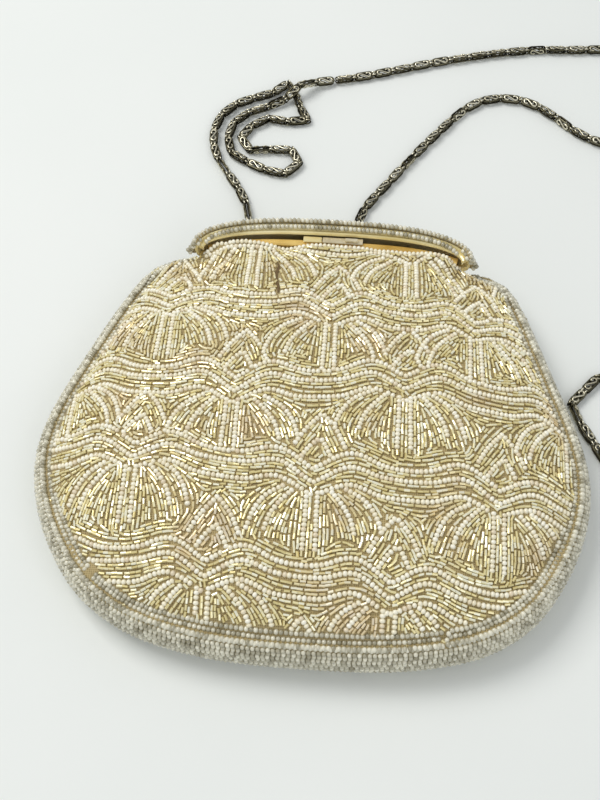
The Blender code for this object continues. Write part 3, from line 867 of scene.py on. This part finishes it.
# %% [markdown]
# Round the pouch runs a band of plain pearls in even rows. The band is looked at from
# outside at many stations along its edge, and at each station from many angles, which gives
# its section there. The section's length is then shared out evenly between the rows.

# %% Sections of the band
EDGE_STATIONS = 1300
EDGE_SPREAD = math.radians(148.5)
BAND_MIDDLE = 10.0
BAND_DEPTH = 9.0
RIM_JUMP = 1.6
SECTION_TURN = 2
SECTION_TURNS = 45
SECTION_LEAST = 4
SECTION_SLACK = 0.8
NEAR_STATIONS = 8
HEADING_REACH = 9
RIM_ROOM = 0.4
FAR = 60.0
LEVEL_UP = Vector((0, 0, 1))


def look_at(tree, target, direction):
    """The first point and normal met from far off, looking at a target. Millimetres."""
    start = (target + direction * FAR) * MM
    hit, normal, _, _ = tree.ray_cast(start, -direction)
    return None if hit is None else (hit / MM, normal)


def edge_stations(tree, centre, height, first, last, count):
    """Points round a node's outer edge and the way outwards at each."""
    points = []
    for i in range(count + 1):
        angle = first + (last - first) * i / count
        direction = Vector((math.sin(angle), -math.cos(angle), 0.0))
        start = centre + direction * 3 * FAR
        hit = tree.ray_cast(Vector((start.x, start.y, height)) * MM, -direction)[0]
        if hit is not None:
            points.append(hit / MM)
    stations = []
    for i, point in enumerate(points):
        ahead = points[min(i + HEADING_REACH, len(points) - 1)]
        along = ahead - points[max(i - HEADING_REACH, 0)]
        stations.append((point, Vector((along.y, -along.x, 0.0)).normalized()))
    return stations


def section_point(tree, station, inset, height, angle):
    """Looks at the edge from outside and from an angle above or below the level."""
    point, outward = station
    target = Vector((point.x, point.y, height)) - outward * inset
    return look_at(tree, target, outward * math.cos(angle) + LEVEL_UP * math.sin(angle))


def band_section(tree, station):
    """Places on the band's outer face at a station, from its back rim to its front rim."""
    halves = []
    for way in (1, -1):
        half = []
        for step in range(SECTION_TURNS):
            angle = math.radians(SECTION_TURN * step * way)
            found = section_point(tree, station, BAND_DEPTH, BAND_MIDDLE, angle)
            if found is None or (half and (found[0] - half[-1][0]).length > RIM_JUMP):
                break
            half.append(found)
        halves.append(half)
    return [*reversed(halves[1]), *halves[0][1:]]


def share_out(section, count):
    """Evenly spaced places along a section, with room for one more row at its front rim."""
    if len(section) < SECTION_LEAST:
        return [None] * count
    spans = spans_of(section)
    travelled = np.cumsum([0.0, *spans])
    places = []
    for number in range(count):
        wanted = travelled[-1] * (number + 0.5) / (count + RIM_ROOM)
        i = min(int(np.searchsorted(travelled, wanted)), len(section) - 1)
        share = (wanted - travelled[i - 1]) / spans[i - 1]
        point = section[i - 1][0].lerp(section[i][0], share)
        places.append((point, section[i - 1][1]))
    return places


band_tree = tree_of("side_band")
stations = edge_stations(band_tree, Vector((0, 0, 0)), BAND_MIDDLE,
                         -EDGE_SPREAD, EDGE_SPREAD, EDGE_STATIONS)
sections = [band_section(band_tree, station) for station in stations]
lengths = [sum(spans_of(section)) for section in sections]
for i, length in enumerate(lengths):
    near = sorted(lengths[max(i - NEAR_STATIONS, 0):i + NEAR_STATIONS + 1])
    if i and abs(length - near[len(near) // 2]) > SECTION_SLACK:
        sections[i] = sections[i - 1]
row_count = round(max(lengths) / PEARL_PITCH)
print("band sections in mm:", round(min(lengths), 1), "to", round(max(lengths), 1))

# %% [markdown]
# Where the band meets the front panel, the real bag has a sewn seam under a row of pearls.
# A narrow strip of cloth closes the gap between the two walls, and one row lies over it.
# More rows follow the panel's own edge, except where beads are lost from the real bag.

# %% Seam and edge rows
SEAM_OUT = 0.92
SEAM_PROUD = 0.7
RIM_PLACES = 6
TAPE_EVERY = 4
TAPE_INNER = 3.0
TAPE_OUTER = 2.0
TAPE_SUNK = 0.9
EDGE_STEP = 0.2
EDGE_STEPS = 60
PANEL_EDGE_INSETS = (0.95, 2.5)
LOW_ROW_TOP = -30.0
# Where beads are lost or the cloth is tucked under: no bead lies this near the line
BARE_PLACES = (
    {"from": (-73.8, -57.0), "to": (-74.6, -58.2), "reach": 1.7},
    {"from": (-20.8, 71.6), "to": (-19.3, 54.7), "reach": 0.95},
)


def panel_edge(surface, stations):
    """The panel's outermost point on each section, or None."""
    edge = []
    for point, outward in stations:
        steps = (point - outward * step * EDGE_STEP for step in range(EDGE_STEPS))
        edge.append(next((p for p in steps if not math.isnan(surface.cast(p.x, p.y))), None))
    return edge


def edge_places(surface, edge, stations, inset):
    """Places on a panel, a set way in from its edge."""
    inner = [point and point - outward * inset for point, (_, outward) in zip(edge, stations)]
    return [point and surface.place(point.x, point.y) for point in inner]


def seam_places(sections, edge, stations):
    """Places over the gap between the band's front rim and the panel."""
    places = []
    for section, point, (_, outward) in zip(sections, edge, stations):
        if point is None or len(section) < SECTION_LEAST:
            places.append(None)
            continue
        over = point + outward * SEAM_OUT
        over.z = max(p.z for p, _ in section[-RIM_PLACES:]) + SEAM_PROUD
        places.append((over, LEVEL_UP))
    return places


def bare_at(point):
    """Whether a point on the front lies in a bare place."""
    for bare in BARE_PLACES:
        start, end = Vector(bare["from"]), Vector(bare["to"])
        share = (point.xy - start).dot(end - start) / (end - start).length_squared
        nearest = start.lerp(end, min(max(share, 0.0), 1.0))
        if (point.xy - nearest).length < bare["reach"] and point.z > BAND_MIDDLE:
            return True
    return False


def not_bare(beads):
    return [bead for bead in beads if not bare_at(bead["point"])]


def add_seam_tape(places, stations):
    """A strip of cloth that closes the seam below its row of pearls."""
    bm = bmesh.new()
    pair = None
    for place, (_, outward) in list(zip(places, stations))[::TAPE_EVERY]:
        if place is None:
            pair = None
            continue
        low = place[0] - LEVEL_UP * (SEAM_PROUD + TAPE_SUNK)
        ends = [bm.verts.new((low - outward * TAPE_INNER) * MM),
                bm.verts.new((low + outward * (TAPE_OUTER - SEAM_OUT)) * MM)]
        if pair is not None:
            bmesh.ops.contextual_create(bm, geom=[*pair, *ends])
        pair = ends
    bmesh.ops.recalc_face_normals(bm, faces=bm.faces)
    return add_object(bm, "seam_tape", CLOTH)


front_edge = panel_edge(front_map, stations)
seam_line = seam_places(sections, front_edge, stations)
seam_tape = add_seam_tape(seam_line, stations)
print("stations without a seam:", seam_line.count(None), "of", len(seam_line))

# %% [markdown]
# The seam's row is threaded first, then the panel's edge rows, then the band's rows from
# front to back. Every other row starts half a pitch on, so the pearls nest as sewn ones do.

# %% Band pearls
HALF_PITCH = PEARL_PITCH / 2
edge_ground = Ground()
band_beads = thread_row(seam_line, edge_ground)
for number, inset in enumerate(PANEL_EDGE_INSETS):
    row = edge_places(front_map, front_edge, stations, inset)
    if number:
        row = [place if place and place[0].y < LOW_ROW_TOP else None for place in row]
    band_beads += not_bare(thread_row(row, edge_ground, number % 2 * HALF_PITCH))
shared_out = [share_out(section, row_count) for section in sections]
for number in reversed(range(row_count)):
    row = [places[number] for places in shared_out]
    band_beads += thread_row(row, edge_ground, number % 2 * HALF_PITCH)
print("band rows:", row_count)
band_pearls = stamp("band_pearls", bead_template(6, 4),
                    pearl_rows(even_normals(band_beads), CHANCE), CLEAR_PEARL)

# %% [markdown]
# On the front panel one row of pearls follows the mouth, with a second where the cloth is
# gathered. Then come the lattice and its gold ground.

# %% Front panel beads
MOUTH_ROWS = ((-51, 51, 0.9), (-50, -23, 2.8))
MOUTH_SEARCH = (60.0, 110.0)
HALVINGS = 14


def mouth_row(surface, first, last, inset, ground):
    """A row of pearls inside the panel's mouth edge, from one x to another."""
    places = []
    for tenth in range(first * 10, last * 10 + 1, 3):
        x = tenth / 10
        inside, outside = MOUTH_SEARCH
        for _ in range(HALVINGS):
            middle = (inside + outside) / 2
            if math.isnan(surface.cast(x, middle)):
                outside = middle
            else:
                inside = middle
        places.append(surface.place(x, inside - inset))
    return thread_row(places, ground)


mouth_beads = []
for first, last, inset in MOUTH_ROWS:
    mouth_beads += mouth_row(front_map, first, last, inset, edge_ground)
front_pearls, front_gold = bead_panel(front_map, FRONT_LINES, edge_ground)
front_pearls = not_bare(mouth_beads + front_pearls)
front_gold = not_bare(front_gold)
half = len(front_pearls) // 2
fan_pearls = stamp("fan_pearls", bead_template(8, 5), pearl_rows(front_pearls[:half], CHANCE),
                   PEARL)
scallop_pearls = stamp("scallop_pearls", bead_template(8, 5),
                       pearl_rows(front_pearls[half:], CHANCE), PEARL)
ground_gold = stamp("ground_gold", cut_bead_template(), gold_rows(front_gold, CHANCE),
                    GOLD_BEAD, smooth=False, painted_light_and_wear=ridge_painted_highlight)

# %% [markdown]
# Below the mouth the cloth is tucked under itself. The shade in the fold is painted: a thin dark
# ribbon lies on the cloth where the beads stop.

# %% Tuck and its painted shade
FOLD_LINE = ((-20.9, 72.6), (-20.2, 69.5), (-20.9, 65.5), (-20.4, 61.0), (-19.4, 57.0),
             (-19.3, 53.6))
FOLD_SHADE_HALF_WIDTH = 0.55
FOLD_SHADE_TIP = 0.02
FOLD_SHADE_TAPER = 0.6
FOLD_SHADE_SUNK = 0.75


def add_tuck_painted_shade():
    """A dark ribbon of painted shade along the tuck, pointed at both ends."""
    bm = bmesh.new()
    line = smooth_line(FOLD_LINE)
    pairs = []
    for i, flat in enumerate(line):
        share = i / (len(line) - 1)
        width = FOLD_SHADE_HALF_WIDTH * math.sin(math.pi * share) ** FOLD_SHADE_TAPER + FOLD_SHADE_TIP
        pair = []
        for side in (-1, 1):
            point, normal = front_map.place(flat.x + side * width, flat.y)
            pair.append(bm.verts.new((point - normal * FOLD_SHADE_SUNK) * MM))
        pairs.append(pair)
    for (a, b), (d, c) in zip(pairs, pairs[1:]):
        bmesh.ops.contextual_create(bm, geom=[a, b, c, d])
    # Near-black brown: painted shade inside the fold.
    material = new_material("tuck_shade", (0.15, 0.095, 0.04), 0.9)
    return add_object(bm, "tuck_painted_shade", material)


tuck_painted_shade = add_tuck_painted_shade()
print("tuck faces:", len(tuck_painted_shade.data.polygons))

# %% [markdown]
# The back is not seen in the photograph. It is finished in the same lattice, as such bags
# are, with simpler beads.

# %% Back panel beads
back_map = HeightMap("back_panel", -1)
back_lines = [[Vector((-p.x, p.y)) for p in line] for line in fan_lines(CHANCE)]
back_beads = Ground()
back_row = edge_places(back_map, panel_edge(back_map, stations), stations, 1.0)
back_edge = thread_row(back_row, back_beads)
back_pearls, back_gold = bead_panel(back_map, back_lines, back_beads)
back_pearls += back_edge
back_fans = stamp("back_fans", bead_template(6, 4), pearl_rows(back_pearls, CHANCE),
                  PEARL)
back_ground = stamp("back_ground", cut_bead_template(), gold_rows(back_gold, CHANCE),
                    GOLD_BEAD, smooth=False, painted_light_and_wear=ridge_painted_highlight)

# %% [markdown]
# The lid's outer plate is covered with the same cloth and clear pearls. One row lies on the
# gold lip and one along the plate's top edge, so a double row shows from the front. The
# rest are looked for from outside, round the top edge first and then down to the table.

# %% Lid beads
LID_STATIONS = 420
LID_SPREAD = math.radians(55)
LID_CENTRE = Vector((0, 30, 0))
LID_LEVEL = 22.0
LIP_ROW_INSET = 4.4
LIP_ROW_RADII = 1.9
TOP_ROW_INSET = 2.5
TOP_ROW_PROUD = 0.45
TOP_STEP = 0.45
TOP_STEPS = 7
COVER_INSET = 1.6
COVER_DROP = 1.9
COVER_ROWS = 12
TOP_TURNS = (50, 20, 0)


def top_of(tree, station):
    """The highest point of the lid's cover at a station."""
    point, outward = station
    looks = [look_at(tree, point - outward * (step + 1) * TOP_STEP, LEVEL_UP)
             for step in range(TOP_STEPS)]
    return max((look[0].z for look in looks if look is not None), default=LID_LEVEL)


def cover_row(turn, drop):
    """Places on the cover, seen from a turn above the level and a drop below its top."""
    return [section_point(lid_tree, station, COVER_INSET, top - COVER_DROP - drop,
                          math.radians(turn)) for station, top in zip(lid_stations, tops)]


lid_tree = tree_of("lid_cover")
lip_tree = tree_of("lid")
lid_stations = edge_stations(lid_tree, LID_CENTRE, LID_LEVEL,
                             math.pi - LID_SPREAD, math.pi + LID_SPREAD, LID_STATIONS)
tops = [top_of(lid_tree, station) for station in lid_stations]
lid_ground = Ground()
lip_row = [look_at(lip_tree, point - outward * LIP_ROW_INSET, LEVEL_UP)
           for point, outward in lid_stations]
lid_beads = thread_row(lip_row, lid_ground)
for bead in lid_beads:
    bead["point"] = bead["point"] + bead["normal"] * LIP_ROW_RADII * PEARL_RADIUS
top_row = [(point - outward * TOP_ROW_INSET, LEVEL_UP) for point, outward in lid_stations]
for (point, _), top in zip(top_row, tops):
    point.z = top + TOP_ROW_PROUD
lid_beads += thread_row(top_row, lid_ground)
for turn in TOP_TURNS:
    lid_beads += thread_row(cover_row(turn, 0), lid_ground)
for number in range(1, COVER_ROWS + 1):
    lid_beads += thread_row(cover_row(0, number * PEARL_PITCH), lid_ground)
lid_pearls = stamp("lid_pearls", bead_template(6, 4),
                   pearl_rows(even_normals(lid_beads), CHANCE), CLEAR_PEARL)

# %% [markdown]
# Each shell is stretched cloth with its beads. Here its area is summed and the CAD wall that it
# stands for is hidden.

# %% Sheets
def declare_cloth(cloth, node):
    """A shell of stretched cloth: sums its area and hides the CAD node that it replaces."""
    bm = bmesh.new()
    bm.from_mesh(cloth.data)
    area = sum(face.calc_area() for face in bm.faces) / 2
    bm.free()
    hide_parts(node)


declare_cloth(front_cloth, "front_panel")
declare_cloth(back_cloth, "back_panel")
declare_cloth(band_cloth, "side_band")
declare_cloth(lid_cloth, "lid_cover")

# %% [markdown]
# The frame is gilt metal, brushed along its length and a little tarnished in patches.
# The latch's bar is paler, and the rings are dark brass. The CAD shapes stay as they are
# and get these finishes.

# %% Metal finishes
BRUSHED = (0.06, 1.0, 1.0)
BRUSH_SCALE = 300.0
SMOOTHEST = -0.08
ROUGHEST = 0.14


def metal(name, dark, bright, roughness, stretch=BRUSHED, metallic=0.45):
    """A metal with brush marks drawn out along one axis and patches of tarnish."""
    material = new_material(name, bright, roughness, metallic)
    colour_by(material, noise(material, 60.0, 5.0), "Fac", [(0.35, dark), (0.62, bright)])
    brush = noise(material, BRUSH_SCALE, 3.0, stretch)
    bump(material, brush, "Fac", 0.25, 0.08 * MM)
    rough = add_node(material, "ShaderNodeMapRange", To_Min=roughness + SMOOTHEST,
                     To_Max=roughness + ROUGHEST)
    join(material, brush, "Fac", rough, "Value")
    join(material, rough, "Result", shader_of(material), "Roughness")
    return material


def dress(material, *nodes):
    """Gives CAD nodes a finish. Their shapes stay as they are."""
    for node in nodes:
        for mesh_slot in NODES[node].material_slots:
            mesh_slot.material = material


GILT = metal("gilt_frame", (0.80, 0.66, 0.30), (1.0, 0.90, 0.54), 0.28)
ORANGE_GILT = metal("orange_gilt", (0.62, 0.38, 0.08), (0.97, 0.70, 0.24), 0.28)
PALE_METAL = metal("pale_latch", (0.66, 0.56, 0.36), (0.96, 0.90, 0.70), 0.22)
DARK_METAL = metal("dark_ring", (0.16, 0.14, 0.10), (0.42, 0.38, 0.30), 0.34,
                   stretch=(1.0, 1.0, 1.0), metallic=1.0)
dress(GILT, "lid", "latch_tab", "left_hinge_pin", "right_hinge_pin")
dress(ORANGE_GILT, "front_strip")
dress(PALE_METAL, "latch_bar", "latch_hook")
dress(DARK_METAL, "left_jump_ring", "right_jump_ring")
print("metal finishes ready")

# %% [markdown]
# The chain lies where the bag's model says, along the same route of points. A smooth curve
# runs through them. It rises where one stretch crosses another.

# %% Chain route
CHAIN_HEIGHT = 1.95
CHAIN_HUMP = 4.3
CURVE_STEPS = 12
CHAIN_SPLIT = 57
HUMP_POINTS = {52: 0.25, 53: 0.85, 54: 1.0, 55: 0.7, 56: 0.15}
CHAIN_ROUTE = (
    (-23.7, 99), (-28.6, 102.4), (-33.6, 106.6), (-37, 112), (-39.4, 122),
    (-45, 132), (-51, 140.5), (-55.5, 149.5), (-57, 158), (-56.2, 166.5),
    (-53, 173.5), (-48, 178.5), (-41.5, 182), (-35, 184.4), (-31, 187.6),
    (-28.6, 191.2), (-25, 192.8), (-22, 190.4), (-22.2, 186), (-21.6, 181),
    (-18.8, 177), (-15.6, 173.6), (-16, 170), (-20.5, 168.6), (-26.5, 169.2),
    (-31.5, 170.8), (-35.6, 169), (-38.2, 165.8), (-42, 164.4), (-44.4, 161),
    (-44.6, 156.6), (-42.6, 152.4), (-38, 150.4), (-31.5, 151.6), (-24.5, 152.6),
    (-19.4, 151), (-17.6, 146.2), (-18.8, 141.4), (-22.6, 138.4), (-27, 137.6),
    (-32, 139.6), (-38, 142.6), (-44.2, 145.6), (-48.6, 149.6), (-50.2, 155),
    (-50.2, 161), (-48.6, 166.6), (-45.2, 171), (-40.4, 174.6), (-35, 177),
    (-30.4, 179.2), (-28, 180.8), (-26, 182.4), (-22.4, 185.4), (-20, 187.8),
    (-16.4, 191), (-12, 193.6),
    (-5, 196), (9, 199.6), (24, 204.8), (40, 210.4), (56, 215.2),
    (72, 219.4), (90, 222.6), (106, 223.6), (121, 225), (135, 224),
    (148, 218.6), (158.5, 208), (165.5, 193), (168.6, 174), (169, 152),
    (167.4, 130), (164.6, 108), (161, 86), (156, 64), (149.6, 42),
    (141.6, 21), (132, 4), (121.6, -4.6), (113, -3), (107.6, 4.6),
    (103.8, 11.6), (100.2, 18), (97, 24.6), (95.4, 30.4), (96.6, 35),
    (100.6, 35.8), (104.2, 37.4), (105.6, 41.6), (108.6, 44.2), (113, 43.4),
    (118.6, 43.8), (126, 49.6), (133.6, 60), (139.6, 74), (143, 92),
    (143, 110), (139.6, 128), (133.6, 144), (126, 157), (118.6, 164.6),
    (110, 168), (102, 173.6), (95, 180.6), (88, 186), (79.6, 189.6),
    (70, 190), (61, 187), (53, 180), (46, 171), (40, 163),
    (34.4, 155), (28.8, 147), (23, 138), (17, 129), (12.6, 122),
    (9.8, 116.4), (9.6, 110.6), (12, 105.2), (16.2, 101.4), (20.3, 99),
)


route = [(x, y, CHAIN_HEIGHT + HUMP_POINTS.get(i, 0.0) * CHAIN_HUMP)
         for i, (x, y) in enumerate(CHAIN_ROUTE)]
CHAIN_LINE = smooth_line(route, CURVE_STEPS)
print("chain in mm:", round(sum((b - a).length for a, b in zip(CHAIN_LINE, CHAIN_LINE[1:]))))

# %% [markdown]
# The chain is made of long open links, each with a scroll like a lying S on both faces,
# joined by pairs of small rings. A wire is a circle of a few points extruded along a path.
# One link and one pair of rings are made once, and the next cell stamps them.

# %% Chain links
LINK_PITCH = 9.3
LINK_HALF = 4.15
LINK_WIDE = 1.5
RAIL_LIFT = 0.70
SCROLL_LIFT = 1.15
RAIL_WIRE = 0.38
SCROLL_WIRE = 0.44
LINK_RAISE = 0.1
JOIN_APART = 0.75
JOIN_RADIUS = 1.30
JOIN_WIRE = 0.36


def add_wire(bm, path, radius, sides=5, closed=False):
    """A round wire along a path: a circle extruded from point to point."""
    count = len(path)

    def frame_at(i):
        before = path[(i - 1) % count] if closed else path[max(i - 1, 0)]
        after = path[(i + 1) % count] if closed else path[min(i + 1, count - 1)]
        along = (after - before).normalized()
        side = Vector((0, 0, 1)) if abs(along.z) < 0.9 else Vector((0, 1, 0))
        across = side.cross(along).normalized()
        turn = Matrix((across, along.cross(across), along)).transposed().to_4x4()
        return Matrix.Translation(path[i]) @ turn

    first = bmesh.ops.create_circle(bm, segments=sides, radius=radius)["verts"]
    bmesh.ops.transform(bm, matrix=frame_at(0), verts=first)
    edges = list(dict.fromkeys(edge for vert in first for edge in vert.link_edges))
    first_edges = edges
    before = frame_at(0)
    for i in range(1, count):
        made = bmesh.ops.extrude_edge_only(bm, edges=edges)["geom"]
        verts = [g for g in made if isinstance(g, bmesh.types.BMVert)]
        edges = [g for g in made if isinstance(g, bmesh.types.BMEdge)
                 and all(v in verts for v in g.verts)]
        here = frame_at(i)
        bmesh.ops.transform(bm, matrix=here @ before.inverted(), verts=verts)
        before = here
    if closed:
        bmesh.ops.bridge_loops(bm, edges=edges + first_edges)
    else:
        bmesh.ops.contextual_create(bm, geom=edges)
        bmesh.ops.contextual_create(bm, geom=first_edges)


def arc(centre, radius, start, end, steps, height):
    """Points of an arc in the link's plane, from one angle to another in degrees."""
    points = []
    for i in range(steps + 1):
        angle = math.radians(start + (end - start) * i / steps)
        points.append(Vector((centre[0] + radius * math.cos(angle),
                              centre[1] + radius * math.sin(angle), height)))
    return points


def oval(height):
    """The middle line of a link's long rail."""
    straight = LINK_HALF - LINK_WIDE
    return (arc((straight, 0), LINK_WIDE, -90, 90, 5, height)
            + arc((-straight, 0), LINK_WIDE, 90, 270, 5, height))


SCROLL_HALF = ((0.0, 0.0), (0.95, -0.55), (1.85, -1.0), (2.75, -0.75), (3.05, 0.05),
               (2.55, 0.85), (1.6, 1.05), (0.9, 0.65))


def scroll(height):
    """A lying S: a slanting middle stroke that curls back at each end."""
    right = [Vector((x, y, height)) for x, y in SCROLL_HALF]
    left = [Vector((-p.x, -p.y, height)) for p in reversed(right[1:])]
    return left + right


def link_template():
    """A scroll link along the X axis, in millimetres."""
    bm = bmesh.new()
    for face in (-1, 1):
        add_wire(bm, oval(face * RAIL_LIFT), RAIL_WIRE, closed=True)
        add_wire(bm, scroll(face * SCROLL_LIFT), SCROLL_WIRE)
    bmesh.ops.recalc_face_normals(bm, faces=bm.faces)
    return bm


def joining_ring_template():
    """Two small rings side by side between two links, standing along the chain."""
    bm = bmesh.new()
    for side in (-1, 1):
        circle = arc((0, 0), JOIN_RADIUS, 0, 324, 9, 0)
        path = [Vector((p.x, side * JOIN_APART, p.y)) for p in circle]
        add_wire(bm, path, JOIN_WIRE, closed=True)
    bmesh.ops.recalc_face_normals(bm, faces=bm.faces)
    return bm


print("link length in mm:", 2 * LINK_HALF)

# %% [markdown]
# The links are shared out evenly along each stretch of the line, and seeded chance turns
# them: most lie nearly flat and some have rolled over, as on the real chain.

# %% Laying the chain
SAME_SIZE = (MM, MM, MM)
ROLL_VARIES = 0.35
ROLLED_SHARE = 0.22
ROLLED_TURN = (0.8, 1.4)
TINT_VARIES = 0.1


def walk(line, distances):
    """Points at given distances along a line."""
    points = []
    index, travelled = 1, 0.0
    for wanted in distances:
        while (index < len(line) - 1
               and travelled + (line[index] - line[index - 1]).length < wanted):
            travelled += (line[index] - line[index - 1]).length
            index += 1
        span = (line[index] - line[index - 1]).length
        points.append(line[index - 1].lerp(line[index], min((wanted - travelled) / span, 1.0)))
    return points


def chain_beads(line, chance):
    """Places for the links and the rings between them, ready to stamp."""
    total = sum((b - a).length for a, b in zip(line, line[1:]))
    count = round(total / LINK_PITCH)
    pitch = total / count
    ends = walk(line, [i * pitch for i in range(count + 1)])
    links, rings = [], []
    for number, (start, end) in enumerate(zip(ends, ends[1:])):
        along = (end - start).normalized()
        side = Vector((0, 0, 1)).cross(along).normalized()
        level = along.cross(side)
        roll = chance.uniform(-ROLL_VARIES, ROLL_VARIES)
        if chance.random() < ROLLED_SHARE:
            roll += chance.choice((-1, 1)) * chance.uniform(*ROLLED_TURN)
        up = level * math.cos(roll) + side * math.sin(roll)
        middle = (start + end) / 2 + Vector((0, 0, LINK_RAISE))
        links.append({"place": middle * MM, "thread": along, "up": up, "size": SAME_SIZE,
                      "tint": chance.uniform(-TINT_VARIES, TINT_VARIES)})
        if number:
            rings.append({"place": start * MM, "thread": along, "up": level, "size": SAME_SIZE,
                          "tint": chance.uniform(-TINT_VARIES, TINT_VARIES)})
    return links, rings


def link_wear_and_painted_light(point):
    """Partly wear and partly painted light: light on the outer faces, where fingers rub and as a
    painted highlight, and dark in the hollows as painted shade.
    """
    return min(max((abs(point[2]) - 0.5) / 1.1, 0.0), 1.0)


# Near-black end: painted shade in the links' hollows; light end: wear with a painted highlight.
CHAIN_METAL = bead_material("chain_metal", [(0.0, (0.030, 0.026, 0.016)),
                                            (0.4, (0.11, 0.10, 0.06)),
                                            (0.75, (0.40, 0.37, 0.26)),
                                            (1.0, (0.84, 0.80, 0.64))], 0.28, 1.0)
split = CHAIN_SPLIT * CURVE_STEPS
for name, node, line in (("near", "chain_near", CHAIN_LINE[:split + 1]),
                         ("far", "chain_far", CHAIN_LINE[split:])):
    links, rings = chain_beads(line, CHANCE)
    scrolls = stamp(f"scroll_links_{name}", link_template(), links, CHAIN_METAL,
                    painted_light_and_wear=link_wear_and_painted_light)
    joins = stamp(f"joining_rings_{name}", joining_ring_template(), rings, CHAIN_METAL,
                  painted_light_and_wear=link_wear_and_painted_light)
    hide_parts(node)
